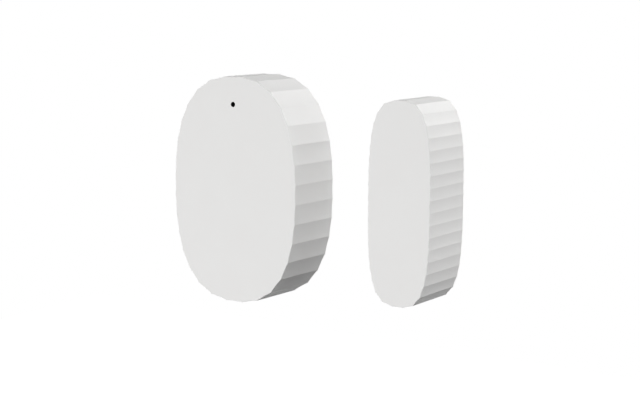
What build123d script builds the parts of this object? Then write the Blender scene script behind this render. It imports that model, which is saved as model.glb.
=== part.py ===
from build123d import *
import os
from math import copysign, cos, hypot, pi, radians, sin, tan

# Door and window sensor: an oval sensor unit and a slimmer oval magnet unit, side by side on a wall.
# X runs from the sensor unit to the magnet unit, Z is up and Y points into the wall.
# The origin is the middle of the sensor unit's adhesive pad, on the wall's surface.
# Every depth below is measured from the wall out into the room, in millimetres.

# Outlines: a rounded oval |x/a|^n + |z/b|^n = 1 through the ridges, at the front face.
# Its width and height follow below, from what each unit holds.
sensor_power = 2.5
sensor_flutes = 32
sensor_flute_depth = 0.12
magnet_unit_power = 3.3
magnet_unit_flutes = 40
magnet_unit_flute_depth = 0.08
units_gap = 25.0
# Arcs in each smooth oval, an even count that four doesn't divide, so that one crosses each end's middle
oval_arcs = 42
# Steps along an oval when it is divided evenly
oval_samples = 4000

# Housings
side_draft = 1.0
face_thickness = 1.8
sensor_wall = 1.8
magnet_unit_wall = 1.7
base_floor = 1.6
base_clearance = 0.15
rim_wall = 1.2
rim_height = 4.0
bead_height = 0.1
bead_thickness = 0.8
bead_length = 7.0
bead_setback = 1.2
groove_depth = 0.25
groove_room = 0.4
sensor_pry_slot_width = 8.0
magnet_pry_slot_width = 4.0
pry_slot_depth = 1.2
rib_thickness = 0.8
base_rib_height = 0.7

# Adhesive pads
pad_thickness = 0.8
pad_margin = 2.5

# Circuit board
board_standoff = 1.0
board_thickness = 1.0
board_gap = 0.3
parts_room = 2.8

# Battery cells, standard slim size, and their tray
cell_diameter = 10.5
cell_length = 44.5
nub_diameter = 3.8
nub_length = 1.0
cell_rounding = 0.5
cell_clearance = 0.1
cell_gap = 0.7
spring_room = 4.0
contact_thickness = 0.4
contact_width = 8.4
contact_margin = 0.3
tray_floor = 0.8
tray_wall = 1.0
tray_side_gap = 0.2
tray_end_room = 4.43
tray_side_height = 7.5
tray_end_height = 9.3
thumb_notch_length = 16.0
thumb_notch_depth = 3.2
cradle_width = 2.0
cradle_count = 3
cradle_spacing = 14.0
cradle_height = 3.4
divider_width = 3.0
divider_end_gap = 5.0
tail_width = 1.8
tail_slot_gap = 0.3
spring_wire = 0.5
spring_base_radius = 3.1
spring_turns = 3.0
spring_taper = 18.0
seat_gap = 0.02

# Screws
screw_diameter = 1.7
screw_pilot_gap = 0.03
screw_hole_gap = 0.15
screw_head_diameter = 3.2
screw_head_height = 1.0
screw_slot_width = 0.5
screw_slot_length = 1.9
screw_slot_depth = 0.5
screw_depth_in_floor = 0.9
boss_diameter = 4.2
ear_rise = 1.6
ear_overlap = 0.3
top_screw_drop = 3.2
bottom_screw_rise = 7.6

# Pinhole, pairing switch and the tube that guides a pin to it
pinhole_diameter = 1.6
guide_diameter = 3.8
guide_gap = 0.6
switch_size = 6.0
switch_gap = 0.75
switch_room = 2.33
switch_height = 3.2
switch_corner = 0.5
switch_frame_thickness = 0.3
switch_frame_margin = 0.15
button_diameter = 3.4
button_top = 5.0
button_pocket_depth = 1.6
button_clearance = 0.05
button_travel = 0.25
button_room = 0.12
leg_width = 0.7
leg_thickness = 0.2
leg_rise = 1.0
leg_reach = 0.9
leg_spacing = 4.5

# Status light
light_gap = 1.7
light_drop = 1.0
light_length = 3.2
light_width = 2.6
light_height = 1.3
lens_diameter = 2.0
lens_height = 0.5
light_guide_diameter = 2.4
light_guide_gap = 0.5
light_guide_clearance = 0.05
light_window = 0.6
light_socket_wall = 0.9
light_socket_height = 3.0

# Tamper switch
tamper_width = 4.4
tamper_length = 6.0
tamper_height = 4.2
tamper_button_diameter = 2.0
tamper_button_rise = 1.4
tamper_button_hold = 1.8
tamper_gap = 0.1
tamper_post_diameter = 3.2

# Magnetic reed switch
reed_length = 14.0
reed_diameter = 2.2
reed_bore_diameter = 1.5
reed_seal = 1.6
reed_shoulder = 0.8
reed_lift = 0.35
reed_wire = 0.5
reed_wire_clearance = 0.02
reed_blade_thickness = 0.2
reed_blade_width = 0.9
reed_contact_gap = 0.02
reed_overlap = 1.2
reed_root = 0.5
reed_hinge_gap = 0.05
reed_lead_reach = 2.4
reed_lead_bend = 0.7
reed_lead_tip = 0.5
lead_hole_gap = 0.1

# Radio module
radio_width = 12.0
radio_length = 17.0
radio_thickness = 0.8
radio_edge_gap = 1.2
shield_margin = 0.6
shield_length = 11.6
shield_height = 1.5
shield_sheet = 0.2
shield_corner = 0.8

# Small parts on the board
capacitor_diameter = 5.0
capacitor_height = 8.0
capacitor_gap = 0.3
capacitor_room = 2.38
capacitor_groove = 0.25
capacitor_groove_z = 1.4
capacitor_rounding = 0.4
regulator_width = 1.6
regulator_length = 2.9
regulator_height = 1.1
crystal_width = 2.5
crystal_length = 3.2
crystal_height = 0.7
chip_width = 0.8
chip_length = 1.6
chip_height = 0.5
chip_spacing = 2.3
resistor_count = 4
capacitor_chip_count = 3
capacitor_chip_gap = 0.3
strip_gap = 0.9

# Foam over the cells, inside the cover
cell_pad_width = 17.0
cell_pad_length = 30.0
cell_pad_thickness = 0.5
cell_pad_gap = 0.3

# Magnet, its clamp and its foam
magnet_width = 6.0
magnet_depth = 6.0
magnet_length = 30.0
magnet_edge = 0.4
magnet_x = -1.2
magnet_clearance = 0.1
cradle_wall = 1.0
magnet_cradle_height = 4.0
magnet_foam_thickness = 0.5
clamp_thickness = 1.2
clamp_width = 8.0
clamp_screw_gap = 4.2
clamp_side_room = 4.8
clamp_end_room = 6.3
# Turn, in degrees, that stands a slot upright
upright_turn = 90
cover_rib_spacing = 22.0
cover_rib_height = 5.0

# Depths from the wall
cell_radius = cell_diameter / 2
housing_back = pad_thickness
base_top = housing_back + base_floor
rim_top = base_top + rim_height
board_back = base_top + board_standoff
board_front = board_back + board_thickness
tray_back = board_front + parts_room
tray_floor_top = tray_back + tray_floor
cell_axis = tray_floor_top + cell_clearance + cell_radius
ceiling = cell_axis + cell_radius + cell_pad_gap + cell_pad_thickness
housing_front = ceiling + face_thickness
ear_top = tray_floor_top + ear_rise
contact_depth = tray_floor_top + contact_margin
screw_tip = housing_back + base_floor - screw_depth_in_floor
bead_depth = rim_top - bead_setback
button_face = board_front + button_top
guide_end = button_face + guide_gap
button_floor = board_front + switch_height - button_pocket_depth
tamper_floor = board_front + tamper_height - tamper_button_hold - tamper_gap
tamper_face = board_front + tamper_height + tamper_button_rise
tamper_post_end = tamper_face + tamper_gap
light_face = board_front + light_height
light_guide_back = light_face + lens_height + light_guide_gap
light_guide_front = housing_front - light_window
reed_axis = board_front + reed_lift + reed_diameter / 2
magnet_front = base_top + magnet_depth
clamp_back = magnet_front + magnet_foam_thickness
clamp_front = clamp_back + clamp_thickness

# Insets from the ridges
draft_growth = (housing_front - housing_back) * tan(radians(side_draft))
sensor_cavity_inset = sensor_flute_depth + sensor_wall
sensor_base_inset = sensor_cavity_inset + base_clearance
sensor_rim_inset = sensor_base_inset + rim_wall
board_inset = sensor_rim_inset + board_gap
sensor_pad_inset = sensor_base_inset + pad_margin
magnet_cavity_inset = magnet_unit_flute_depth + magnet_unit_wall
magnet_base_inset = magnet_cavity_inset + base_clearance
magnet_rim_inset = magnet_base_inset + rim_wall
magnet_pad_inset = magnet_base_inset + pad_margin

# Tray, from the two cells
cell_pitch = cell_diameter + cell_gap
bay_width = cell_pitch + cell_diameter + 2 * tray_side_gap
bay_length = cell_length + spring_room + 2 * contact_thickness
tray_width = bay_width + 2 * tray_wall
tray_length = bay_length + 2 * tray_wall
tray_side_top = tray_floor_top + tray_side_height
tray_end_top = tray_floor_top + tray_end_height

# Sensor unit's outline: round the tray, with the pairing switch above it and the capacitor beside it
room_above = switch_gap + switch_size + switch_room + sensor_rim_inset
room_below = tray_end_room + sensor_cavity_inset
room_beside = capacitor_gap + capacitor_diameter + capacitor_room + sensor_rim_inset
sensor_width = tray_width + 2 * room_beside
sensor_height = room_below + tray_length + room_above
tray_z = (room_below - room_above) / 2
bay_top = tray_z + bay_length / 2
bay_bottom = tray_z - bay_length / 2
pinhole_z = tray_z + tray_length / 2 + switch_gap + switch_size / 2

# Magnet unit's outline: round the magnet's clamp
magnet_pocket_width = magnet_width + 2 * magnet_clearance
magnet_pocket_length = magnet_length + 2 * magnet_clearance
magnet_screw_z = magnet_length / 2 + clamp_screw_gap
magnet_screw_places = [(magnet_x, magnet_screw_z), (magnet_x, -magnet_screw_z)]
clamp_length = 2 * magnet_screw_z + clamp_width
magnet_unit_width = 2 * (abs(magnet_x) + clamp_width / 2 + clamp_side_room)
magnet_unit_height = clamp_length + 2 * clamp_end_room
unit_spacing = sensor_width / 2 + units_gap + magnet_unit_width / 2

# Tray screws
ear_x = tray_width / 2 + boss_diameter / 2 - ear_overlap
upper_screw_z = tray_z + tray_length / 2 - top_screw_drop
lower_screw_z = tray_z - tray_length / 2 + bottom_screw_rise
screw_places = [(side * ear_x, z) for side in (-1, 1) for z in (upper_screw_z, lower_screw_z)]


def even_column(lengths):
    """Heights of the middles of pieces of these lengths, evenly spaced between the tray's ears."""
    top = upper_screw_z - boss_diameter / 2
    bottom = lower_screw_z + boss_diameter / 2
    gap = (top - bottom - sum(lengths)) / (len(lengths) + 1)
    middles = []
    for length in lengths:
        middles.append(top - gap - length / 2)
        top -= gap + length
    return middles


# Places on the board, between the tray and the board's edge
board_half_width = sensor_width / 2 - board_inset
strip_x = (tray_width / 2 + board_half_width) / 2
inner_strip_x = tray_width / 2 + strip_gap + chip_width / 2
capacitor_x = -(tray_width / 2 + capacitor_gap + capacitor_diameter / 2)
radio_x = -(board_half_width - radio_edge_gap - radio_width / 2)
tamper_z, radio_z, capacitor_z = even_column([tamper_length, radio_length, capacitor_diameter])
shield_z = radio_z - radio_length / 2 + shield_margin + shield_length / 2
reed_span = reed_length + 2 * reed_lead_reach + reed_wire
regulator_z, reed_z, crystal_z = even_column([regulator_width, reed_span, crystal_length])
light_x = -(switch_size / 2 + leg_reach + light_gap + light_length / 2)
light_z = pinhole_z - light_drop
chip_row_length = (capacitor_chip_count - 1) * chip_spacing + chip_width
capacitor_chip_x = switch_size / 2 + leg_reach + capacitor_chip_gap + chip_row_length / 2

# Reed switch, along its glass
reed_bottom = reed_z - reed_length / 2
reed_top = reed_z + reed_length / 2
blade_shift = (reed_contact_gap + reed_blade_thickness) / 2
blade_root = reed_top - reed_seal - reed_shoulder - reed_hinge_gap
fixed_blade_root = reed_bottom + reed_seal + reed_shoulder
lead_bends = (reed_bottom - reed_lead_reach, reed_top + reed_lead_reach)



def from_wall(depth, centre_x=0.0):
    """Drawing plane parallel to the wall and this far from it, seen from the room: X right, Z up."""
    return Plane(origin=(centre_x, -depth, 0), x_dir=(1, 0, 0), z_dir=(0, -1, 0))


def upright_axis_plane(x, depth, z, up=1):
    """Drawing plane through an upright turning axis: local X is the radius, local Y runs along the axis."""
    return Plane(origin=(x, -depth, z), x_dir=(up, 0, 0), z_dir=(0, -1, 0))


def outward_axis_plane(x, depth, z):
    """Drawing plane through a turning axis square to the wall: local Y runs away from the wall."""
    return Plane(origin=(x, -depth, z), x_dir=(1, 0, 0), z_dir=(0, 0, -1))


def axis_of(plane):
    """The turning axis of such a drawing plane."""
    return Axis(plane.origin, plane.y_dir)


def sensor_oval(inset):
    """Half width, half height and power of the sensor unit's oval, drawn in by inset."""
    return sensor_width / 2 - inset, sensor_height / 2 - inset, sensor_power


def magnet_oval(inset):
    """Half width, half height and power of the magnet unit's oval, drawn in by inset."""
    return magnet_unit_width / 2 - inset, magnet_unit_height / 2 - inset, magnet_unit_power


def even_points(half_width, half_height, power, count, first=0.5):
    """Points at even distances along the oval, anticlockwise from +X, the first a part of a step along."""
    walk = []
    for i in range(oval_samples + 1):
        angle = 2 * pi * i / oval_samples
        c, s = cos(angle), sin(angle)
        x = half_width * copysign(abs(c) ** (2 / power), c)
        z = half_height * copysign(abs(s) ** (2 / power), s)
        walk.append((x, z))
    run = [0.0]
    for (x0, z0), (x1, z1) in zip(walk, walk[1:]):
        run.append(run[-1] + hypot(x1 - x0, z1 - z0))
    points = []
    i = 0
    for k in range(count):
        wanted = run[-1] * (k + first) / count
        while run[i + 1] < wanted:
            i += 1
        share = (wanted - run[i]) / (run[i + 1] - run[i])
        (x0, z0), (x1, z1) = walk[i], walk[i + 1]
        points.append((x0 + share * (x1 - x0), z0 + share * (z1 - z0)))
    return points


def fluted_line(half_width, half_height, power, flutes, flute_depth):
    """Closed line of hollow flutes between sharp ridges that stand on the oval."""
    ridges = even_points(half_width, half_height, power, flutes)
    for start, end in zip(ridges, ridges[1:] + ridges[:1]):
        SagittaArc(start, end, flute_depth)


def oval_line(half_width, half_height, power):
    """Closed smooth oval, as arcs that each pass through three of its points."""
    points = even_points(half_width, half_height, power, 2 * oval_arcs, first=0.0)
    points.append(points[0])
    for k in range(0, 2 * oval_arcs, 2):
        ThreePointArc(points[k], points[k + 1], points[k + 2])


def fluted_shell(centre_x, oval, flutes, flute_depth, cavity_inset, pry_slot_width):
    """Housing open to the wall: fluted and tapered outside, smooth inside, with its snap grooves."""
    half_width, half_height, _ = oval(0)
    with BuildPart() as shell:
        for depth, inset in ((housing_back, -draft_growth), (housing_front, 0)):
            with BuildSketch(from_wall(depth, centre_x)):
                with BuildLine():
                    fluted_line(*oval(inset), flutes, flute_depth)
                make_face()
        loft(ruled=True)
        with BuildSketch(from_wall(housing_back, centre_x)):
            with BuildLine():
                oval_line(*oval(cavity_inset))
            make_face()
        extrude(amount=ceiling - housing_back, mode=Mode.SUBTRACT)
        # Groove at each side for the base's snap beads
        with BuildSketch(from_wall(bead_depth - bead_thickness / 2 - groove_room / 2, centre_x)):
            with BuildLine():
                oval_line(*oval(cavity_inset - groove_depth))
            make_face()
            Rectangle(2 * half_width, bead_length + groove_room, mode=Mode.INTERSECT)
        extrude(amount=bead_thickness + groove_room, mode=Mode.SUBTRACT)
        # Slot at the bottom for a coin or a flat blade
        with BuildSketch(from_wall(housing_back, centre_x)):
            with Locations((0, -half_height)):
                Rectangle(pry_slot_width, 2 * cavity_inset + draft_growth)
        extrude(amount=pry_slot_depth, mode=Mode.SUBTRACT)
    return shell


def rimmed_base(centre_x, oval, base_inset, rim_inset):
    """Base plate with the rim that the housing slides over, and a snap bead at each side."""
    half_width, _, _ = oval(0)
    with BuildPart() as base:
        with BuildSketch(from_wall(housing_back, centre_x)):
            with BuildLine():
                oval_line(*oval(base_inset))
            make_face()
        extrude(amount=base_floor)
        with BuildSketch(from_wall(base_top, centre_x)):
            with BuildLine():
                oval_line(*oval(base_inset))
            make_face()
            with BuildLine():
                oval_line(*oval(rim_inset))
            make_face(mode=Mode.SUBTRACT)
        extrude(amount=rim_height)
        with BuildSketch(from_wall(bead_depth - bead_thickness / 2, centre_x)):
            with BuildLine():
                oval_line(*oval(base_inset - bead_height))
            make_face()
            Rectangle(2 * half_width, bead_length, mode=Mode.INTERSECT)
            with BuildLine():
                oval_line(*oval(rim_inset))
            make_face(mode=Mode.SUBTRACT)
        extrude(amount=bead_thickness)
    return base


def adhesive_pad(centre_x, oval, inset):
    """Foam tape between the wall and a base."""
    with BuildPart() as pad:
        with BuildSketch(from_wall(0, centre_x)):
            with BuildLine():
                oval_line(*oval(inset))
            make_face()
        extrude(amount=pad_thickness)
    return pad


def cross_screws(centre_x, places, seat):
    """Screws with cross slots: tips in the base's floor, heads on a seat this far from the wall."""
    head_back = seat + seat_gap
    head_front = head_back + screw_head_height
    with BuildPart() as screws:
        with BuildSketch(from_wall(screw_tip + seat_gap, centre_x)):
            with Locations(*places):
                Circle(screw_diameter / 2)
        extrude(amount=seat - screw_tip)
        with BuildSketch(from_wall(head_back, centre_x)):
            with Locations(*places):
                Circle(screw_head_diameter / 2)
        extrude(amount=screw_head_height)
        with BuildSketch(from_wall(head_front - screw_slot_depth, centre_x)):
            with Locations(*places):
                Rectangle(screw_slot_length, screw_slot_width)
                Rectangle(screw_slot_width, screw_slot_length)
        extrude(amount=screw_slot_depth, mode=Mode.SUBTRACT)
    return screws


# Sensor unit, outside

sensor_shell = fluted_shell(
    0, sensor_oval, sensor_flutes, sensor_flute_depth, sensor_cavity_inset, sensor_pry_slot_width
)
with BuildPart() as front_cover:
    add(sensor_shell.part)
    # Tube that leads a pin from the face to the pairing button
    with BuildSketch(from_wall(guide_end)):
        with Locations((0, pinhole_z)):
            Circle(guide_diameter / 2)
    extrude(amount=ceiling - guide_end)
    # Post that holds the tamper button down
    with BuildSketch(from_wall(tamper_post_end)):
        with Locations((-strip_x, tamper_z)):
            Circle(tamper_post_diameter / 2)
    extrude(amount=ceiling - tamper_post_end)
    # Socket of the light guide
    with BuildSketch(from_wall(ceiling - light_socket_height)):
        with Locations((light_x, light_z)):
            Circle(light_guide_diameter / 2 + light_guide_clearance + light_socket_wall)
    extrude(amount=light_socket_height)
    with BuildSketch(from_wall(ceiling - light_socket_height)):
        with Locations((light_x, light_z)):
            Circle(light_guide_diameter / 2 + light_guide_clearance)
    extrude(amount=light_guide_front - ceiling + light_socket_height, mode=Mode.SUBTRACT)
    # Pinhole, all the way along the tube
    with BuildSketch(from_wall(guide_end)):
        with Locations((0, pinhole_z)):
            Circle(pinhole_diameter / 2)
    extrude(amount=housing_front - guide_end, mode=Mode.SUBTRACT)

plain_base = rimmed_base(0, sensor_oval, sensor_base_inset, sensor_rim_inset)
with BuildPart() as base_plate:
    add(plain_base.part)
    # Stiffening ribs under the board
    with BuildSketch(from_wall(base_top)):
        Rectangle(rib_thickness, sensor_height - 2 * sensor_rim_inset + rim_wall)
        Rectangle(sensor_width - 2 * sensor_rim_inset + rim_wall, rib_thickness)
    extrude(amount=base_rib_height)
    # Screw bosses
    with BuildSketch(from_wall(base_top)):
        with Locations(*screw_places):
            Circle(boss_diameter / 2)
    extrude(amount=board_standoff)
    with BuildSketch(from_wall(screw_tip)):
        with Locations(*screw_places):
            Circle(screw_diameter / 2 + screw_pilot_gap)
    extrude(amount=board_back - screw_tip, mode=Mode.SUBTRACT)

wall_adhesive = adhesive_pad(0, sensor_oval, sensor_pad_inset)

with BuildPart() as cell_pad:
    with BuildSketch(from_wall(ceiling - cell_pad_thickness)):
        with Locations((0, tray_z)):
            Rectangle(cell_pad_width, cell_pad_length)
    extrude(amount=cell_pad_thickness)

with BuildPart() as light_guide:
    with BuildSketch(from_wall(light_guide_back)):
        with Locations((light_x, light_z)):
            Circle(light_guide_diameter / 2)
    extrude(amount=light_guide_front - light_guide_back)

# Circuit board and its fasteners

with BuildPart() as circuit_board:
    with BuildSketch(from_wall(board_back)):
        with BuildLine():
            oval_line(*sensor_oval(board_inset))
        make_face()
        with Locations(*screw_places):
            Circle(screw_diameter / 2 + screw_hole_gap, mode=Mode.SUBTRACT)
        with Locations(*[(strip_x, z) for z in lead_bends]):
            Circle(reed_wire / 2 + lead_hole_gap, mode=Mode.SUBTRACT)
    extrude(amount=board_thickness)

tray_screws = cross_screws(0, screw_places, ear_top)

# Battery tray, cells and contacts

with BuildPart() as battery_tray:
    with BuildSketch(from_wall(tray_back)):
        with Locations((0, tray_z)):
            Rectangle(tray_width, tray_length)
    extrude(amount=tray_end_top - tray_back)
    with BuildSketch(from_wall(tray_floor_top)):
        with Locations((0, tray_z)):
            Rectangle(bay_width, bay_length)
    extrude(amount=tray_end_height, mode=Mode.SUBTRACT)
    with BuildSketch(from_wall(tray_side_top)):
        with Locations((0, tray_z)):
            Rectangle(tray_width, bay_length)
    extrude(amount=tray_end_top - tray_side_top, mode=Mode.SUBTRACT)
    # Notches where thumb and finger reach the cells
    with BuildSketch(from_wall(tray_side_top - thumb_notch_depth)):
        with Locations((0, tray_z)):
            Rectangle(tray_width, thumb_notch_length)
    extrude(amount=thumb_notch_depth, mode=Mode.SUBTRACT)
    # Cradles and divider, hollowed to the round of the cells
    with BuildSketch(from_wall(tray_floor_top)):
        with Locations((0, tray_z)):
            with GridLocations(bay_width, cradle_spacing, 1, cradle_count):
                Rectangle(bay_width, cradle_width)
            Rectangle(divider_width, bay_length - 2 * divider_end_gap)
    extrude(amount=cradle_height)
    with BuildSketch(Plane.XY.offset(bay_bottom)):
        with Locations((-cell_pitch / 2, -cell_axis), (cell_pitch / 2, -cell_axis)):
            Circle(cell_radius + cell_clearance)
    extrude(amount=bay_length, mode=Mode.SUBTRACT)
    # Ears that the screws pass through, standing on the board
    with BuildSketch(from_wall(board_front)):
        with Locations(*screw_places):
            Circle(boss_diameter / 2)
    extrude(amount=ear_top - board_front)
    with BuildSketch(from_wall(board_front)):
        with Locations(*screw_places):
            Circle(screw_diameter / 2 + screw_hole_gap)
    extrude(amount=ear_top - board_front, mode=Mode.SUBTRACT)
    # Slots for the contacts' tails
    with BuildSketch(from_wall(tray_back)):
        with Locations((0, bay_bottom + contact_thickness / 2 + tail_slot_gap / 2)):
            with GridLocations(cell_pitch, cell_pitch, 2, 1):
                Rectangle(tail_width + tail_slot_gap, contact_thickness + tail_slot_gap)
    extrude(amount=tray_floor, mode=Mode.SUBTRACT)


def cell_line():
    """Half section of a round cell, from its flat end at the drawing's origin up to its nub."""
    can_length = cell_length - nub_length
    side = cell_radius - cell_rounding
    Line((0, 0), (side, 0))
    RadiusArc((side, 0), (cell_radius, cell_rounding), -cell_rounding)
    Line((cell_radius, cell_rounding), (cell_radius, can_length - cell_rounding))
    RadiusArc((cell_radius, can_length - cell_rounding), (side, can_length), -cell_rounding)
    Polyline(
        (side, can_length),
        (nub_diameter / 2, can_length),
        (nub_diameter / 2, cell_length),
        (0, cell_length),
        (0, 0),
    )


def spring_line(x, end_z, up):
    """Axis line of a tapered coil that stands on a contact at end_z and narrows towards the cell."""
    rise = spring_room - spring_wire - 2 * seat_gap
    return Helix(
        pitch=rise / spring_turns,
        height=rise,
        radius=spring_base_radius,
        center=(x, -cell_axis, end_z + up * (spring_wire / 2 + seat_gap)),
        direction=(0, 0, up),
        cone_angle=-spring_taper,
    )


# The left cell stands on its spring, nub up
left_cell_end = bay_bottom + contact_thickness + spring_room
left_cell_plane = upright_axis_plane(-cell_pitch / 2, cell_axis, left_cell_end)
with BuildPart() as battery_cell_left:
    with BuildSketch(left_cell_plane):
        with BuildLine():
            cell_line()
        make_face()
    revolve(axis=axis_of(left_cell_plane))

# The right cell hangs the other way round, nub down
right_cell_end = bay_top - contact_thickness - spring_room
right_cell_plane = upright_axis_plane(cell_pitch / 2, cell_axis, right_cell_end, -1)
with BuildPart() as battery_cell_right:
    with BuildSketch(right_cell_plane):
        with BuildLine():
            cell_line()
        make_face()
    revolve(axis=axis_of(right_cell_plane))

with BuildPart() as battery_spring_left:
    with BuildLine() as coil:
        spring_line(-cell_pitch / 2, bay_bottom + contact_thickness, 1)
    with BuildSketch(Plane(origin=coil.line @ 0, z_dir=coil.line % 0)):
        Circle(spring_wire / 2)
    sweep(is_frenet=True)

with BuildPart() as battery_spring_right:
    with BuildLine() as coil:
        spring_line(cell_pitch / 2, bay_top - contact_thickness, -1)
    with BuildSketch(Plane(origin=coil.line @ 0, z_dir=coil.line % 0)):
        Circle(spring_wire / 2)
    sweep(is_frenet=True)

# Plate at the top that joins the two cells, folded over the tray's end
with BuildPart() as bridge_contact:
    with BuildSketch(from_wall(contact_depth)):
        with Locations((0, bay_top - contact_thickness / 2)):
            Rectangle(cell_pitch + contact_width, contact_thickness)
    extrude(amount=tray_end_top + contact_thickness - contact_depth)
    with BuildSketch(from_wall(tray_end_top)):
        with Locations((0, bay_top + tray_wall / 2)):
            Rectangle(cell_pitch + contact_width, tray_wall)
    extrude(amount=contact_thickness)

# Plates at the bottom, each with a fold over the tray's end and a tail down to the board
bottom_contacts = {}
for name, side in (("negative_contact", -1), ("positive_contact", 1)):
    with BuildPart() as bottom_contact:
        with BuildSketch(from_wall(contact_depth)):
            with Locations((side * cell_pitch / 2, bay_bottom + contact_thickness / 2)):
                Rectangle(contact_width, contact_thickness)
        extrude(amount=tray_end_top + contact_thickness - contact_depth)
        with BuildSketch(from_wall(tray_end_top)):
            with Locations((side * cell_pitch / 2, bay_bottom - tray_wall / 2)):
                Rectangle(contact_width, tray_wall)
        extrude(amount=contact_thickness)
        with BuildSketch(from_wall(board_front)):
            with Locations((side * cell_pitch / 2, bay_bottom + contact_thickness / 2)):
                Rectangle(tail_width, contact_thickness)
        extrude(amount=contact_depth - board_front)
    bottom_contacts[name] = bottom_contact

# Pairing switch

with BuildPart() as pairing_switch_body:
    with BuildSketch(from_wall(board_front)):
        with Locations((0, pinhole_z)):
            RectangleRounded(switch_size, switch_size, switch_corner)
    extrude(amount=switch_height)
    with BuildSketch(from_wall(button_floor)):
        with Locations((0, pinhole_z)):
            Circle(button_diameter / 2 + button_clearance)
    extrude(amount=button_pocket_depth, mode=Mode.SUBTRACT)

with BuildPart() as pairing_switch_frame:
    with BuildSketch(from_wall(board_front + switch_height)):
        with Locations((0, pinhole_z)):
            RectangleRounded(
                switch_size - 2 * switch_frame_margin, switch_size - 2 * switch_frame_margin, switch_corner
            )
            Circle(button_diameter / 2 + button_clearance, mode=Mode.SUBTRACT)
    extrude(amount=switch_frame_thickness)

with BuildPart() as pairing_button:
    with BuildSketch(from_wall(button_floor + button_travel + button_room)):
        with Locations((0, pinhole_z)):
            Circle(button_diameter / 2)
    extrude(amount=button_face - button_floor - button_travel - button_room)

with BuildPart() as pairing_switch_legs:
    with BuildSketch(from_wall(board_front)):
        with Locations((0, pinhole_z)):
            with GridLocations(switch_size + 2 * leg_reach - leg_thickness, leg_spacing, 2, 2):
                Rectangle(leg_thickness, leg_width)
    extrude(amount=leg_rise)
    with BuildSketch(from_wall(board_front + leg_rise - leg_thickness)):
        with Locations((0, pinhole_z)):
            with GridLocations(switch_size + leg_reach, leg_spacing, 2, 2):
                Rectangle(leg_reach, leg_width)
    extrude(amount=leg_thickness)

# Status light

with BuildPart() as light_base:
    with BuildSketch(from_wall(board_front)):
        with Locations((light_x, light_z)):
            Rectangle(light_length, light_width)
    extrude(amount=light_height)

with BuildPart() as light_lens:
    with BuildSketch(from_wall(light_face)):
        with Locations((light_x, light_z)):
            Circle(lens_diameter / 2)
    extrude(amount=lens_height)
    fillet(light_lens.edges().filter_by(GeomType.CIRCLE).group_by(Axis.Y)[0], lens_height / 2)

# Tamper switch

with BuildPart() as tamper_switch_body:
    with BuildSketch(from_wall(board_front)):
        with Locations((-strip_x, tamper_z)):
            Rectangle(tamper_width, tamper_length)
    extrude(amount=tamper_height)
    with BuildSketch(from_wall(tamper_floor)):
        with Locations((-strip_x, tamper_z)):
            Circle(tamper_button_diameter / 2 + button_clearance)
    extrude(amount=board_front + tamper_height - tamper_floor, mode=Mode.SUBTRACT)

with BuildPart() as tamper_button:
    with BuildSketch(from_wall(tamper_floor + tamper_gap)):
        with Locations((-strip_x, tamper_z)):
            Circle(tamper_button_diameter / 2)
    extrude(amount=tamper_face - tamper_floor - tamper_gap)

# Magnetic reed switch

reed_plane = upright_axis_plane(strip_x, reed_axis, reed_bottom)
with BuildPart() as reed_glass:
    with BuildSketch(reed_plane):
        with BuildLine():
            neck = reed_wire / 2 + reed_wire_clearance
            Polyline(
                (neck, 0),
                (reed_diameter / 2 - reed_shoulder / 2, 0),
                (reed_diameter / 2, reed_shoulder),
                (reed_diameter / 2, reed_length - reed_shoulder),
                (reed_diameter / 2 - reed_shoulder / 2, reed_length),
                (neck, reed_length),
                (neck, reed_length - reed_seal),
                (reed_bore_diameter / 2, reed_length - reed_seal - reed_shoulder),
                (reed_bore_diameter / 2, reed_seal + reed_shoulder),
                (neck, reed_seal),
                close=True,
            )
        make_face()
    revolve(axis=axis_of(reed_plane))


def bent_lead(bend_z, inner_z):
    """Round lead that rises through the board at bend_z and runs along the glass as far as inner_z."""
    tip = (strip_x, -(board_back - reed_lead_tip), bend_z)
    with BuildPart() as lead:
        with BuildLine():
            FilletPolyline(
                tip, (strip_x, -reed_axis, bend_z), (strip_x, -reed_axis, inner_z), radius=reed_lead_bend
            )
        with BuildSketch(Plane(origin=tip, z_dir=(0, -1, 0))):
            Circle(reed_wire / 2)
        sweep()
    return lead


lower_lead = bent_lead(lead_bends[0], fixed_blade_root + reed_root)
reed_upper_lead = bent_lead(lead_bends[1], reed_top - reed_seal - reed_shoulder)

with BuildPart() as reed_fixed_blade:
    add(lower_lead.part)
    with BuildSketch(Plane.XY.offset(fixed_blade_root)):
        with Locations((strip_x + blade_shift, -reed_axis)):
            Rectangle(reed_blade_thickness, reed_blade_width)
    extrude(amount=reed_z + reed_overlap / 2 - fixed_blade_root)

with BuildPart() as reed_moving_blade:
    with BuildSketch(Plane.XY.offset(reed_z - reed_overlap / 2)):
        with Locations((strip_x - blade_shift, -reed_axis)):
            Rectangle(reed_blade_thickness, reed_blade_width)
    extrude(amount=blade_root - reed_z + reed_overlap / 2)

# Radio module

with BuildPart() as radio_board:
    with BuildSketch(from_wall(board_front)):
        with Locations((radio_x, radio_z)):
            Rectangle(radio_width, radio_length)
    extrude(amount=radio_thickness)

with BuildPart() as radio_shield:
    with BuildSketch(from_wall(board_front + radio_thickness)):
        with Locations((radio_x, shield_z)):
            RectangleRounded(radio_width - 2 * shield_margin, shield_length, shield_corner)
    extrude(amount=shield_height)
    offset(
        amount=-shield_sheet, openings=radio_shield.faces().sort_by(Axis.Y)[-1], kind=Kind.INTERSECTION
    )

# Small parts on the board

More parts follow.
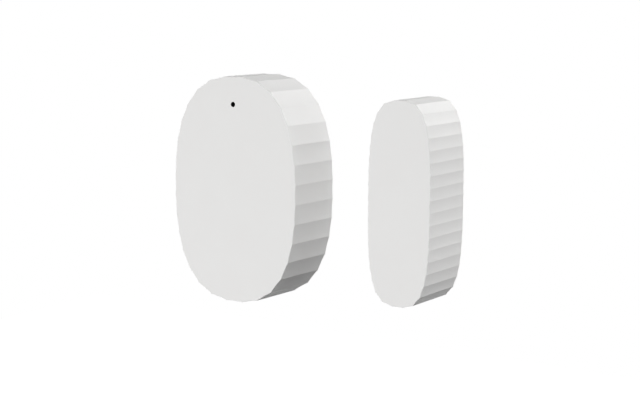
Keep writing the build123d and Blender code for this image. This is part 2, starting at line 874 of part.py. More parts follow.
capacitor_plane = outward_axis_plane(capacitor_x, board_front, capacitor_z)
with BuildPart() as storage_capacitor:
    with BuildSketch(capacitor_plane):
        with BuildLine():
            Polyline(
                (0, 0),
                (capacitor_diameter / 2, 0),
                (capacitor_diameter / 2, capacitor_groove_z - capacitor_groove),
                (capacitor_diameter / 2 - capacitor_groove, capacitor_groove_z),
                (capacitor_diameter / 2, capacitor_groove_z + capacitor_groove),
                (capacitor_diameter / 2, capacitor_height - capacitor_rounding),
                (capacitor_diameter / 2 - capacitor_rounding, capacitor_height),
                (0, capacitor_height),
                close=True,
            )
        make_face()
    revolve(axis=axis_of(capacitor_plane))

with BuildPart() as regulator:
    with BuildSketch(from_wall(board_front)):
        with Locations((strip_x, regulator_z)):
            Rectangle(regulator_length, regulator_width)
    extrude(amount=regulator_height)

with BuildPart() as crystal:
    with BuildSketch(from_wall(board_front)):
        with Locations((inner_strip_x + crystal_width / 2, crystal_z)):
            RectangleRounded(crystal_width, crystal_length, crystal_height / 2)
    extrude(amount=crystal_height)

with BuildPart() as chip_resistors:
    with BuildSketch(from_wall(board_front)):
        with Locations((inner_strip_x, reed_z)):
            with GridLocations(chip_spacing, chip_spacing, 1, resistor_count):
                Rectangle(chip_width, chip_length)
    extrude(amount=chip_height)

with BuildPart() as chip_capacitors:
    with BuildSketch(from_wall(board_front)):
        with Locations((capacitor_chip_x, pinhole_z)):
            with GridLocations(chip_spacing, chip_spacing, capacitor_chip_count, 1):
                Rectangle(chip_width, chip_length)
    extrude(amount=chip_width)

# Magnet unit

magnet_shell = fluted_shell(
    unit_spacing,
    magnet_oval,
    magnet_unit_flutes,
    magnet_unit_flute_depth,
    magnet_cavity_inset,
    magnet_pry_slot_width,
)
with BuildPart() as magnet_cover:
    add(magnet_shell.part)
    # Cross ribs behind the face
    with BuildSketch(from_wall(ceiling - cover_rib_height, unit_spacing)):
        with BuildLine():
            oval_line(*magnet_oval(magnet_unit_flute_depth + magnet_unit_wall / 2))
        make_face()
        Rectangle(magnet_unit_width, cover_rib_spacing + rib_thickness, mode=Mode.INTERSECT)
        Rectangle(magnet_unit_width, cover_rib_spacing - rib_thickness, mode=Mode.SUBTRACT)
    extrude(amount=cover_rib_height)

plain_magnet_base = rimmed_base(unit_spacing, magnet_oval, magnet_base_inset, magnet_rim_inset)
with BuildPart() as magnet_base:
    add(plain_magnet_base.part)
    # Cradle round the magnet
    with BuildSketch(from_wall(base_top, unit_spacing)):
        with Locations((magnet_x, 0)):
            Rectangle(magnet_pocket_width + 2 * cradle_wall, magnet_pocket_length + 2 * cradle_wall)
            Rectangle(magnet_pocket_width, magnet_pocket_length, mode=Mode.SUBTRACT)
    extrude(amount=magnet_cradle_height)
    with BuildSketch(from_wall(base_top, unit_spacing)):
        with Locations(*magnet_screw_places):
            Circle(boss_diameter / 2)
    extrude(amount=clamp_back - base_top)
    with BuildSketch(from_wall(screw_tip, unit_spacing)):
        with Locations(*magnet_screw_places):
            Circle(screw_diameter / 2 + screw_pilot_gap)
    extrude(amount=clamp_back - screw_tip, mode=Mode.SUBTRACT)

magnet_adhesive = adhesive_pad(unit_spacing, magnet_oval, magnet_pad_inset)

with BuildPart() as bar_magnet:
    with BuildSketch(from_wall(base_top, unit_spacing)):
        with Locations((magnet_x, 0)):
            Rectangle(magnet_width, magnet_length)
    extrude(amount=magnet_depth)
    chamfer(bar_magnet.edges(), magnet_edge)

with BuildPart() as magnet_foam:
    with BuildSketch(from_wall(magnet_front, unit_spacing)):
        with Locations((magnet_x, 0)):
            Rectangle(magnet_width, magnet_length - magnet_width)
    extrude(amount=magnet_foam_thickness)

with BuildPart() as magnet_clamp:
    with BuildSketch(from_wall(clamp_back, unit_spacing)):
        with Locations((magnet_x, 0)):
            SlotOverall(clamp_length, clamp_width, rotation=upright_turn)
        with Locations(*magnet_screw_places):
            Circle(screw_diameter / 2 + screw_hole_gap, mode=Mode.SUBTRACT)
    extrude(amount=clamp_thickness)

clamp_screws = cross_screws(unit_spacing, magnet_screw_places, clamp_front)

pieces = {
    "front_cover": front_cover,
    "base_plate": base_plate,
    "wall_adhesive": wall_adhesive,
    "cell_pad": cell_pad,
    "light_guide": light_guide,
    "circuit_board": circuit_board,
    "tray_screws": tray_screws,
    "battery_tray": battery_tray,
    "battery_cell_left": battery_cell_left,
    "battery_cell_right": battery_cell_right,
    "battery_spring_left": battery_spring_left,
    "battery_spring_right": battery_spring_right,
    "bridge_contact": bridge_contact,
    "negative_contact": bottom_contacts["negative_contact"],
    "positive_contact": bottom_contacts["positive_contact"],
    "pairing_switch_body": pairing_switch_body,
    "pairing_switch_frame": pairing_switch_frame,
    "pairing_switch_legs": pairing_switch_legs,
    "pairing_button": pairing_button,
    "light_base": light_base,
    "light_lens": light_lens,
    "tamper_switch_body": tamper_switch_body,
    "tamper_button": tamper_button,
    "reed_glass": reed_glass,
    "reed_fixed_blade": reed_fixed_blade,
    "reed_upper_lead": reed_upper_lead,
    "reed_moving_blade": reed_moving_blade,
    "radio_board": radio_board,
    "radio_shield": radio_shield,
    "storage_capacitor": storage_capacitor,
    "regulator": regulator,
    "crystal": crystal,
    "chip_resistors": chip_resistors,
    "chip_capacitors": chip_capacitors,
    "magnet_cover": magnet_cover,
    "magnet_base": magnet_base,
    "magnet_adhesive": magnet_adhesive,
    "bar_magnet": bar_magnet,
    "magnet_foam": magnet_foam,
    "magnet_clamp": magnet_clamp,
    "clamp_screws": clamp_screws,
}
os.makedirs("parts", exist_ok=True)
for name, piece in pieces.items():
    piece.part.label = name
    export_step(piece.part, f"parts/{name}.step")
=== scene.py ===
"""Door and window sensor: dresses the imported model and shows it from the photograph's angle.

Two fluted oval units in satin white ABS: the sensor unit, with its board, cells and switches, and the
slimmer magnet unit beside it. X runs from the sensor unit to the magnet unit, Z is up and Y points into
the wall. Sizes in the classes are millimetres, and every depth is measured from the wall into the room.
"""
import logging
import math
from collections.abc import Callable, Iterator, Sequence
from contextlib import contextmanager
from dataclasses import dataclass
from enum import Enum

import bmesh
import bpy
from mathutils import Matrix, Vector


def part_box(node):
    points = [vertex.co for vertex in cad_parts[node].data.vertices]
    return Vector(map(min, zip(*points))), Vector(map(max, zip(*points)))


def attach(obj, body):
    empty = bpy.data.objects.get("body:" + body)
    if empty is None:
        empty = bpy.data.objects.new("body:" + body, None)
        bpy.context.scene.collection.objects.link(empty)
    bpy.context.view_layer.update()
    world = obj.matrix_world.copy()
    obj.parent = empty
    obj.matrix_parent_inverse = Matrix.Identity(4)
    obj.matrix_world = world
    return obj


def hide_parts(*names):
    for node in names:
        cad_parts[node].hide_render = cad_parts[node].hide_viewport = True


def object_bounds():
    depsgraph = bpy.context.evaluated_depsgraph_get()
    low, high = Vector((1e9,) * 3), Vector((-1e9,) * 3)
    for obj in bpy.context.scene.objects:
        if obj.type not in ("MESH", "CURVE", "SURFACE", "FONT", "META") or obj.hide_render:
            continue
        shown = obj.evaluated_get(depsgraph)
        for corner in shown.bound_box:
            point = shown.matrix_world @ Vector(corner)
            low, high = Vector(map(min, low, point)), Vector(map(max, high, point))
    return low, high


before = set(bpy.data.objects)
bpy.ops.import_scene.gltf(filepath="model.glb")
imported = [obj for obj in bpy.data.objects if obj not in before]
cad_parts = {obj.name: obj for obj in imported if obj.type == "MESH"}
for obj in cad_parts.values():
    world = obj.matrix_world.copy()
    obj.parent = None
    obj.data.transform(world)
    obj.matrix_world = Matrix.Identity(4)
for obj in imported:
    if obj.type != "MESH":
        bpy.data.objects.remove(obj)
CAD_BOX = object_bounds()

LOG = logging.getLogger("sensor")
MM = 0.001

# Directions as X, depth and Z
ACROSS, OUT, UP = Vector((1, 0, 0)), Vector((0, 1, 0)), Vector((0, 0, 1))
# How far a cutting tool passes the face that it opens, and how near a picked face lies to its plane
PAST, CLOSE = 1.0, 0.01
# In metres, how near corners lie that are one: in a CAD solid, after a spin, and on a finished piece
SOLID_WELD, SPIN_WELD, LAST_WELD = 1e-7, 2e-6, 5e-7
# How near a corner lies to its plane, in metres, and to its ridge, in millimetres
PLANE_REACH, RIDGE_REACH = 1e-6, 1e-3
FLAT_ANGLE = math.radians(0.2)
# The most of a side's normal, and the least of an outward edge's run, that points away from the wall
SIDEWAYS, SQUARE = 0.5, 0.99

Pair = tuple[float, float]
Test = Callable[[bmesh.types.BMFace], bool]


def spot(x: float, depth: float, z: float) -> Vector:
    """The frame's point, in metres, at a place given in millimetres and a depth from the wall."""
    return Vector((x, -depth, z)) * MM


def at_depth(line: Sequence[Pair], depth: float) -> list[Vector]:
    """The frame's points along a line parallel to the wall, its corners given as X and Z in millimetres."""
    return [spot(x, depth, z) for x, z in line]


def around(middle: float, size: float) -> Pair:
    """The two ends of a size that lies evenly round its middle."""
    return middle - size / 2, middle + size / 2


def quarter(steps: int) -> list[Pair]:
    """Cosine and sine at even steps through a quarter turn."""
    turns = [math.pi / 2 * step / (steps - 1) for step in range(steps)]
    return [(math.cos(turn), math.sin(turn)) for turn in turns]


def box_mm(node: str) -> tuple[Vector, Vector]:
    """Lowest and highest corner of a CAD node as X, depth and Z in millimetres.

    Args:
        node: The CAD node's name.

    Returns:
        The corner nearest the wall, low and left, and the one furthest from it, high and right.
    """
    low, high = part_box(node)
    return Vector((low.x, -high.y, low.z)) / MM, Vector((high.x, -low.y, high.z)) / MM


def centre_mm(node: str) -> Vector:
    """Middle of a CAD node as X, depth and Z in millimetres."""
    low, high = box_mm(node)
    return (low + high) / 2


def middle_mm(face: bmesh.types.BMFace) -> Vector:
    """Middle of a face as X, depth and Z in millimetres."""
    at = face.calc_center_median() / MM
    return Vector((at.x, -at.y, at.z))


def is_side(face: bmesh.types.BMFace) -> bool:
    """Whether a face looks along the wall more than away from it."""
    return abs(face.normal.y) < SIDEWAYS


def is_outward(edge: bmesh.types.BMEdge) -> bool:
    """Whether an edge runs square to the wall."""
    run = edge.verts[0].co - edge.verts[1].co
    return abs(run.y) > SQUARE * run.length


# Colours and materials


def linear(hex_colour: str) -> tuple[float, float, float, float]:
    """Turns an sRGB hex colour into the linear colour that a shader takes, by the sRGB curve.

    Args:
        hex_colour: A colour such as "#E7E8E6".

    Returns:
        Red, green, blue and alpha, each from 0 to 1.
    """
    shares = [int(hex_colour[i : i + 2], 16) / 255 for i in (1, 3, 5)]
    bright = [s / 12.92 if s <= 0.04045 else ((s + 0.055) / 1.055) ** 2.4 for s in shares]
    return (*bright, 1.0)


Feed = dict[str | int, object]


def feed(tree: bpy.types.NodeTree, node: bpy.types.Node, inputs: Feed) -> None:
    """Sets or links a node's inputs.

    Args:
        tree: The node tree.
        node: The node that is fed.
        inputs: Socket name or number to a plain value, to the output that feeds the socket, or to a node,
            which stands for its first live output.
    """
    for name, value in inputs.items():
        if isinstance(value, bpy.types.Node):
            value = next(socket for socket in value.outputs if socket.enabled)
        if isinstance(value, bpy.types.NodeSocket):
            tree.links.new(value, node.inputs[name])
        else:
            node.inputs[name].default_value = value


def add_node(
    tree: bpy.types.NodeTree, kind: str, inputs: Feed | None = None, **settings: object
) -> bpy.types.Node:
    """Adds one node with its settings and its inputs.

    Args:
        tree: The node tree that takes it.
        kind: Blender's name of the node's type.
        inputs: What goes into its sockets, as feed takes it.
        settings: The node's own settings.

    Returns:
        The new node.
    """
    node = tree.nodes.new(kind)
    for name, value in settings.items():
        setattr(node, name, value)
    feed(tree, node, inputs or {})
    return node


# The Mix node's two colour sockets, which share their names with its other sockets
MIX_A, MIX_B = 6, 7
# How many finer layers of noise lie over a material's soft patches
PATCH_DETAIL = 3.0


class Grain(Enum):
    """The pattern that a surface's making leaves on it."""

    SPARKED = "spark-eroded mould, a fine even grain"
    CELLS = "open or closed foam cells"
    DRAWN = "lines along the metal's drawing or rolling"


@dataclass(frozen=True)
class Finish:
    """A surface: what it is made of, its two tones, its gloss and its grain.

    The two tones lie in soft patches, mottle_mm across. The grain is grain_mm across and stands
    grain_height_mm high, and the roughness runs between its two values with it. The photograph's view
    shows about 0.33 mm in a pixel, so finer grains than that are drawn coarser than the real ones.
    """

    name: str
    colour: str
    tone: str
    roughness: Pair
    grain: Grain = Grain.SPARKED
    grain_mm: float = 0.3
    grain_height_mm: float = 0.01
    mottle_mm: float = 9.0
    along: tuple[float, float, float] = (1.0, 1.0, 1.0)
    ior: float = 1.5
    metallic: float = 0.0
    transmission: float = 0.0
    coat: float = 0.0

    def material(self) -> bpy.types.Material:
        """The finish as a node material, made once and shared by its pieces.

        Returns:
            The material.
        """
        made = bpy.data.materials.get(self.name)
        if not made:
            made = bpy.data.materials.new(self.name)
            made.use_nodes = True
            self.dress(made.node_tree)
        return made

    def dress(self, tree: bpy.types.NodeTree) -> None:
        """Gives the material's shader its constants, tones and grain.

        Args:
            tree: The material's nodes.
        """
        place = add_node(tree, "ShaderNodeTexCoord").outputs["Object"]
        patch_scale = 1 / (self.mottle_mm * MM)
        patches = add_node(
            tree, "ShaderNodeTexNoise", {"Vector": place, "Scale": patch_scale, "Detail": PATCH_DETAIL}
        )
        tones = {"Factor": patches, MIX_A: linear(self.colour), MIX_B: linear(self.tone)}
        height = self.grain_pattern(tree, place)
        low, high = self.roughness
        gloss = {"Value": height, "To Min": low, "To Max": high}
        relief = {"Height": height, "Distance": self.grain_height_mm * MM}
        inputs = {
            "IOR": self.ior,
            "Metallic": self.metallic,
            "Transmission Weight": self.transmission,
            "Coat Weight": self.coat,
            "Base Color": add_node(tree, "ShaderNodeMix", tones, data_type="RGBA"),
            "Roughness": add_node(tree, "ShaderNodeMapRange", gloss),
            "Normal": add_node(tree, "ShaderNodeBump", relief),
        }
        feed(tree, tree.nodes["Principled BSDF"], inputs)

    def grain_pattern(self, tree: bpy.types.NodeTree, place: bpy.types.NodeSocket) -> bpy.types.Node:
        """Height of the grain, from 0 to 1.

        Args:
            tree: The material's nodes.
            place: The surface's place.

        Returns:
            The texture whose first output is the height.
        """
        stretched = add_node(tree, "ShaderNodeMapping", {"Vector": place, "Scale": self.along})
        kind = "ShaderNodeTexVoronoi" if self.grain is Grain.CELLS else "ShaderNodeTexNoise"
        return add_node(tree, kind, {"Vector": stretched, "Scale": 1 / (self.grain_mm * MM)})


# An even soft sheen with no clear reflection, and no wear on a new unit
SATIN_ABS = Finish("ABS, satin moulded, white", "#E9E9E8", "#E7E6E5", (0.56, 0.64), ior=1.54)
# The same plastic from a plain-ground mould, a shade greyer and shinier
BASE_ABS = Finish("ABS, moulded, off-white", "#E0E1DE", "#D9DAD7", (0.42, 0.55), ior=1.54)
# Undyed, so warmer and darker than the white plastic
TRAY_ABS = Finish("ABS, moulded, natural", "#D6D6D1", "#CFCFC9", (0.38, 0.5), ior=1.54)
# Soft, milky and slightly open
TAPE_FOAM = Finish(
    "acrylic foam tape, slit", "#DDE0E0", "#D2D6D6", (0.75, 0.9), Grain.CELLS, 0.35, 0.04, ior=1.48
)
# No sheen at all, and small open cells in its cut faces
DARK_FOAM = Finish(
    "polyurethane foam, die cut", "#2A2A2C", "#222224", (0.85, 0.97), Grain.CELLS, 0.5, 0.06, ior=1.48
)
# Clear and bright, so that the rod's rim shows more than its body
CLEAR_ACRYLIC = Finish(
    "acrylic, polished", "#F4F8F8", "#EEF4F4", (0.03, 0.07),
    grain_height_mm=0.001, ior=1.49, transmission=1.0,
)
# Lacquer over glass cloth: glossy and even, faintly wavy
GREEN_BOARD = Finish(
    "glass-epoxy board, green mask", "#1B6B3A", "#175F33", (0.28, 0.38), grain_mm=0.5, ior=1.52, coat=0.2
)
# The same lacquer in blue, which sets the radio module off from the board
BLUE_BOARD = Finish(
    "glass-epoxy board, blue mask", "#1C3E78", "#18366A", (0.28, 0.38), grain_mm=0.5, ior=1.52, coat=0.2
)
# A thin plating: cool grey and a little cloudy
ZINC_STEEL = Finish(
    "steel, cold headed, zinc plated", "#BDBEBC", "#ABADAC", (0.26, 0.4), grain_mm=0.25, metallic=1.0
)
# Rolled strip under nickel: warm and bright, with fine lines up and down
NICKEL_STEEL = Finish(
    "spring steel, stamped, nickel plated", "#BFBBB3", "#AFABA3", (0.2, 0.34),
    Grain.DRAWN, 0.15, 0.003, along=(1.0, 1.0, 0.05), metallic=1.0,
)
# Dipped in tin: pale and bright, with no lines
TINNED_WIRE = Finish(
    "iron-nickel wire, tinned", "#D2D1CE", "#C3C3C1", (0.25, 0.38), grain_mm=0.3, metallic=1.0
)
# Drawn tinplate: greyer and duller than the nickel, with fine lines up and down
SHIELD_TIN = Finish(
    "tinned steel, deep drawn", "#A9AAAB", "#9A9C9D", (0.3, 0.42),
    Grain.DRAWN, 0.12, 0.003, along=(1.0, 1.0, 0.04), metallic=1.0,
)
# Bare metal, pale and smooth, with faint lines along the can
CAN_ALUMINIUM = Finish(
    "aluminium, impact extruded", "#C9CACB", "#BFC0C2", (0.26, 0.34),
    Grain.DRAWN, 0.12, 0.001, along=(1.0, 0.04, 1.0), metallic=1.0,
)
# Silver-grey and smooth, with the softer shine of a film over steel
CELL_WRAP = Finish(
    "dry cell wrapper, metallised film", "#B4B8BD", "#ABAFB5", (0.28, 0.36),
    grain_mm=1.5, grain_height_mm=0.004, metallic=0.7,
)
# The film's printed part, a plain darker grey band round the nub's end
CELL_BAND = Finish(
    "dry cell wrapper, printed film", "#50565E", "#4A5058", (0.28, 0.36),
    grain_mm=1.5, grain_height_mm=0.004, metallic=0.3,
)
# The can's bare ends, brighter and warmer than the film
CELL_STEEL = Finish(
    "steel, deep drawn, nickel plated", "#D6D4CF", "#C8C6C1", (0.2, 0.32), grain_mm=0.2, metallic=1.0
)
# Pressed paper: dull and faintly fibrous
BLACK_FIBRE = Finish("vulcanised fibre, stamped", "#38383A", "#303033", (0.7, 0.85), grain_mm=0.2)
# A thick even coat, slightly glossy: real print on the capacitor, painted shade on the cover's pin bore
# wall
BLACK_INK_AND_PAINTED_SHADE = Finish("epoxy ink, pad printed, black, and painted shade", "#1E1E20", "#1A1A1C", (0.3, 0.4), grain_mm=0.2)
# Matt and chalky beside the lacquer
WHITE_INK = Finish("epoxy ink, screen printed, white", "#E8E8E2", "#DEDED8", (0.5, 0.62), grain_mm=0.15)
# Under the mask copper shows as a lighter line of the same hue
GREEN_TRACK = Finish(
    "copper track under green mask", "#2E8A50", "#287E48", (0.26, 0.36), grain_mm=0.4, ior=1.52, coat=0.2
)
# The radio module's track, lighter in the same way
BLUE_TRACK = Finish(
    "copper track under blue mask", "#3763A8", "#305A9A", (0.26, 0.36), grain_mm=0.4, ior=1.52, coat=0.2
)
# Thin gold: warm, bright and clean
GOLD_PAD = Finish("copper pad, gold plated", "#E0B55E", "#D6AA52", (0.2, 0.32), grain_mm=0.2, metallic=1.0)
# Hot-air levelled solder: bright, softly rippled
SOLDER = Finish("tin solder, reflowed", "#D0D0D0", "#C4C5C6", (0.18, 0.34), grain_mm=0.35, metallic=1.0)
# Bare laminate where the cutter passed: dull straw yellow
SAWN_EPOXY = Finish("glass-epoxy board, routed edge", "#B9A468", "#AC965C", (0.6, 0.78), grain_mm=0.12)
# The sides of a chip resistor below its black face: off-white and matt
WHITE_ALUMINA = Finish("alumina ceramic, fired", "#E9E7E1", "#E0DED7", (0.4, 0.55), grain_mm=0.12)
# Dark grey rather than black in the light, with a low sheen
BLACK_NYLON = Finish("nylon, moulded, black", "#313133", "#2A2A2C", (0.45, 0.6), ior=1.53)
# Harder than the nylon, and a little lighter and smoother
BLACK_ACETAL = Finish("acetal, moulded, black", "#3A3A3C", "#333335", (0.35, 0.48), ior=1.48)
# The whitest plastic of all, so that the lamp throws its light forward
LAMP_WHITE = Finish("polyamide, moulded, lamp white", "#ECECE7", "#E6E6E0", (0.3, 0.42), ior=1.53)
# The phosphor under the clear cap makes the lamp's small dome look milky yellow
LENS_EPOXY = Finish(
    "silicone, cast over phosphor", "#EFE6B8", "#E8DEAA", (0.08, 0.14),
    grain_height_mm=0.001, ior=1.41, coat=0.6,
)
# Clear with a faint green cast, its surface left smooth by the flame
SEALED_GLASS = Finish(
    "soda-lime glass, flame sealed", "#E6F2EA", "#DFEDE4", (0.01, 0.03),
    grain_height_mm=0.0005, transmission=1.0,
)
# Moulding compound: dull charcoal with a fine grain
BLACK_EPOXY = Finish("epoxy, transfer moulded, black", "#2C2C2D", "#262627", (0.5, 0.66), grain_mm=0.12)
# Bare ceramic, an even dull tan
TAN_CERAMIC = Finish("barium titanate ceramic, fired", "#C3A77E", "#B89B72", (0.4, 0.55), grain_mm=0.15)
# Bright and neutral, a little cloudy from the tumbling before its plating
NICKEL_MAGNET = Finish(
    "sintered neodymium, nickel plated", "#C9C9C6", "#BBBBB9", (0.16, 0.3), grain_mm=0.4, metallic=1.0
)


# The modelling bench


def deselect_all() -> None:
    """Leaves nothing selected, so that an operator acts only on what is picked next."""
    bpy.ops.object.select_all(action="DESELECT")


def take(thing: bpy.types.Object) -> None:
    """Selects one object and nothing else, and makes it the active one.

    Args:
        thing: The object.
    """
    deselect_all()
    thing.select_set(True)
    bpy.context.view_layer.objects.active = thing


def select_mesh() -> None:
    """Selects, in edit mode, the whole mesh."""
    bpy.ops.mesh.select_all(action="SELECT")


def weld(distance: float) -> None:
    """Merges, in edit mode, the corners that lie nearer together than this, in metres."""
    select_mesh()
    bpy.ops.mesh.remove_doubles(threshold=distance)


def face_outwards() -> None:
    """Turns, in edit mode, every face of a closed mesh to the outside."""
    select_mesh()
    bpy.ops.mesh.normals_make_consistent(inside=False)


def extrude_edges(way: Vector) -> None:
    """Draws the selected edges out, in edit mode, by a way in metres."""
    bpy.ops.mesh.extrude_edges_move(TRANSFORM_OT_translate={"value": way})


def round_edges(width: float, steps: int) -> None:
    """Rounds the selected edges, in edit mode, by a width in millimetres."""
    bpy.ops.mesh.bevel(offset=width * MM, segments=steps, affect="EDGES", clamp_overlap=True)


class Piece:
    """One piece on the bench: a primitive, or a solid's copy, shaped with the modeller's own operators."""

    def __init__(self, name: str) -> None:
        """Takes the object that an add operator has just made, and puts its place into its mesh.

        Args:
            name: The piece's plain name.
        """
        self.object: bpy.types.Object = bpy.context.active_object
        self.object.name = name
        self.object.data.name = name
        bpy.ops.object.transform_apply(location=True, rotation=True, scale=True)

    @classmethod
    def block(cls, name: str, x: Pair, depth: Pair, z: Pair) -> "Piece":
        """A block that spans these millimetres across, out from the wall and up.

        Args:
            name: The piece's name.
            x: Its left and right ends.
            depth: Its back and front.
            z: Its lower and upper ends.

        Returns:
            The block.
        """
        deselect_all()
        low, high = (Vector(corner) for corner in zip(x, depth, z))
        bpy.ops.mesh.primitive_cube_add(size=1, location=spot(*((low + high) / 2)), scale=(high - low) * MM)
        return cls(name)

    @classmethod
    def rod(cls, name: str, x: float, z: float, depth: Pair, radius: float, sides: int = 48) -> "Piece":
        """A round rod square to the wall, in millimetres.

        Args:
            name: The piece's name.
            x: Its axis across.
            z: Its axis up.
            depth: Where it starts and ends.
            radius: Its radius.
            sides: Faces round it.

        Returns:
            The rod.
        """
        deselect_all()
        start, end = (spot(x, at, z) for at in depth)
        run = end - start
        bpy.ops.mesh.primitive_cylinder_add(
            vertices=sides,
            radius=radius * MM,
            depth=run.length,
            location=(start + end) / 2,
            rotation=run.to_track_quat("Z", "Y").to_euler(),
        )
        return cls(name)

    @classmethod
    def ring(cls, name: str, corners: Sequence[Vector]) -> "Piece":
        """A closed line through corners.

        Args:
            name: The piece's name.
            corners: The frame's points that it goes through, in metres.

        Returns:
            The line, with no face in it yet.
        """
        deselect_all()
        bpy.ops.mesh.primitive_circle_add(vertices=len(corners))
        piece = cls(name)
        for vertex, corner in zip(piece.object.data.vertices, corners):
            vertex.co = corner
        return piece

    @classmethod
    def turned(
        cls, name: str, profile: Sequence[Pair], foot: Vector, axis: Vector = OUT, sides: int = 48
    ) -> "Piece":
        """A solid of revolution, its half section spun round its axis.

        Args:
            name: The piece's name.
            profile: The half section's corners, as radius and height along the axis in millimetres.
            foot: Where the heights start, as X, depth and Z in millimetres.
            axis: The way the heights run, as X, depth and Z.
            sides: Faces round it.

        Returns:
            The closed solid.
        """
        middle, up = spot(*foot), Vector((axis.x, -axis.y, axis.z))
        out = up.orthogonal().normalized()
        piece = cls.ring(name, [middle + (out * radius + up * height) * MM for radius, height in profile])
        with piece.editing("EDGE"):
            select_mesh()
            bpy.ops.mesh.spin(steps=sides, angle=math.tau, center=middle, axis=up)
            weld(SPIN_WELD)
            face_outwards()
        return piece

    @classmethod
    def plate(cls, name: str, line: Sequence[Pair], start: float, end: float) -> "Piece":
        """A flat plate parallel to the wall.

        Args:
            name: The piece's name.
            line: Its outline's corners as X and Z in millimetres.
            start: Depth of its back.
            end: Depth of its front.

        Returns:
            The plate.
        """
        return cls.ring(name, at_depth(line, start)).thicken(spot(0, end - start, 0))

    @classmethod
    def of_solid(cls, node: str) -> "Piece":
        """A copy of a CAD solid, its loose triangles merged and its flat faces made whole.

        Args:
            node: The CAD node to copy.

        Returns:
            The copy, closed and ready for its edges to be softened.
        """
        name = dressed(node)
        copied = bpy.data.objects.new(name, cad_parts[node].data.copy())
        bpy.context.scene.collection.objects.link(copied)
        take(copied)
        piece = cls(name)
        copied.data.materials.clear()
        with piece.editing("VERT"):
            weld(SOLID_WELD)
            bpy.ops.mesh.dissolve_limited(angle_limit=FLAT_ANGLE)
        if copied.data.has_custom_normals:
            bpy.ops.mesh.customdata_custom_splitnormals_clear()
        return piece

    @contextmanager
    def editing(self, kind: str = "FACE") -> Iterator[None]:
        """Edit mode on this piece alone, with nothing in it selected.

        Args:
            kind: What is picked there: "VERT", "EDGE" or "FACE".
        """
        take(self.object)
        bpy.ops.object.mode_set(mode="EDIT")
        bpy.ops.mesh.select_mode(type=kind)
        bpy.ops.mesh.select_all(action="DESELECT")
        yield
        bpy.ops.object.mode_set(mode="OBJECT")

    def pick(self, kind: str, test: Callable[[object], bool]) -> None:
        """Selects, in edit mode, the vertices, edges or faces that pass a test, and nothing else.

        Args:
            kind: "VERT", "EDGE" or "FACE".
            test: Says whether an element is picked.
        """
        bpy.ops.mesh.select_mode(type=kind)
        bpy.ops.mesh.select_all(action="DESELECT")
        mesh = bmesh.from_edit_mesh(self.object.data)
        for element in {"VERT": mesh.verts, "EDGE": mesh.edges, "FACE": mesh.faces}[kind]:
            if test(element):
                element.select_set(True)
        mesh.select_flush_mode()
        bmesh.update_edit_mesh(self.object.data)

    def apply(self, kind: str, **settings: object) -> "Piece":
        """Adds a modifier, sets it and applies it.

        Args:
            kind: Blender's name of the modifier's type.
            settings: The modifier's settings.

        Returns:
            This piece.
        """
        take(self.object)
        modifier = self.object.modifiers.new(kind.lower(), kind)
        for name, value in settings.items():
            setattr(modifier, name, value)
        bpy.ops.object.modifier_apply(modifier=modifier.name)
        return self

    def merge(self, tool: "Piece", operation: str = "UNION") -> "Piece":
        """Joins another piece to this one, or cuts it out, and takes the tool off the bench.

        Args:
            tool: The piece to add or cut out.
            operation: "UNION" or "DIFFERENCE".

        Returns:
            This piece.
        """
        self.apply("BOOLEAN", object=tool.object, operation=operation, solver="EXACT")
        bpy.data.objects.remove(tool.object)
        return self

    def cut(self, tool: "Piece") -> "Piece":
        """Cuts another piece out of this one."""
        return self.merge(tool, "DIFFERENCE")

    def copied(self, x: float = 0.0, z: float = 0.0) -> "Piece":
        """A copy with a mesh of its own.

        Args:
            x: How far it is moved across, in millimetres.
            z: How far it is moved up.

        Returns:
            The copy.
        """
        take(self.object)
        bpy.ops.object.duplicate()
        bpy.ops.transform.translate(value=spot(x, 0, z))
        return Piece(self.object.name + "_copy")

    def mirrored(self, axis: Vector, at: float) -> "Piece":
        """A mirrored copy.

        Args:
            axis: ACROSS or UP, the axis that is turned round.
            at: The mirror's place on that axis in millimetres.

        Returns:
            The copy, its faces pointing outwards.
        """
        other = self.copied()
        with other.editing("VERT"):
            select_mesh()
            turned_round = Vector((1, 1, 1)) - 2 * axis
            bpy.ops.transform.resize(value=turned_round, center_override=spot(*(axis * at)))
            face_outwards()
        return other

    def join(self, others: Sequence["Piece"]) -> "Piece":
        """Takes other pieces into this one as loose parts of it.

        Args:
            others: The pieces that it takes, which leave the bench.

        Returns:
            This piece.
        """
        if others:
            take(self.object)
            for piece in others:
                piece.object.select_set(True)
            bpy.ops.object.join()
        return self

    def repeat(self, places: Sequence[Pair]) -> "Piece":
        """Copies the piece to more places.

        Args:
            places: X and Z in millimetres of this piece and then of each copy.

        Returns:
            This piece, with its copies in it.
        """
        (x, z), *more = places
        return self.join([self.copied(across - x, up - z) for across, up in more])

    def split(self, axis: Vector, at: float) -> "Piece":
        """Cuts the faces along a plane, so that each side can have its own finish.

        Args:
            axis: ACROSS or UP, the plane's normal.
            at: The plane's place on that axis in millimetres.

        Returns:
            This piece.
        """
        with self.editing():
            select_mesh()
            bpy.ops.mesh.bisect(plane_co=spot(*(axis * at)), plane_no=axis)
        return self

    def thicken(self, way: Vector) -> "Piece":
        """Fills the closed line and draws it out into a solid.

        Args:
            way: How far and which way, in metres.

        Returns:
            This piece.
        """
        with self.editing("EDGE"):
            select_mesh()
            bpy.ops.mesh.edge_face_add()
            bpy.ops.mesh.extrude_region_move(TRANSFORM_OT_translate={"value": way})
            face_outwards()
        return self

    def soften(self, width: float, segments: int = 2, angle: float = 35.0) -> "Piece":
        """Rounds every edge that turns by more than an angle.

        Args:
            width: The rounding's width in millimetres.
            segments: Faces across it.
            angle: The least turn in degrees.

        Returns:
            This piece.
        """
        limit = {"limit_method": "ANGLE", "angle_limit": math.radians(angle)}
        return self.apply("BEVEL", width=width * MM, segments=segments, **limit)

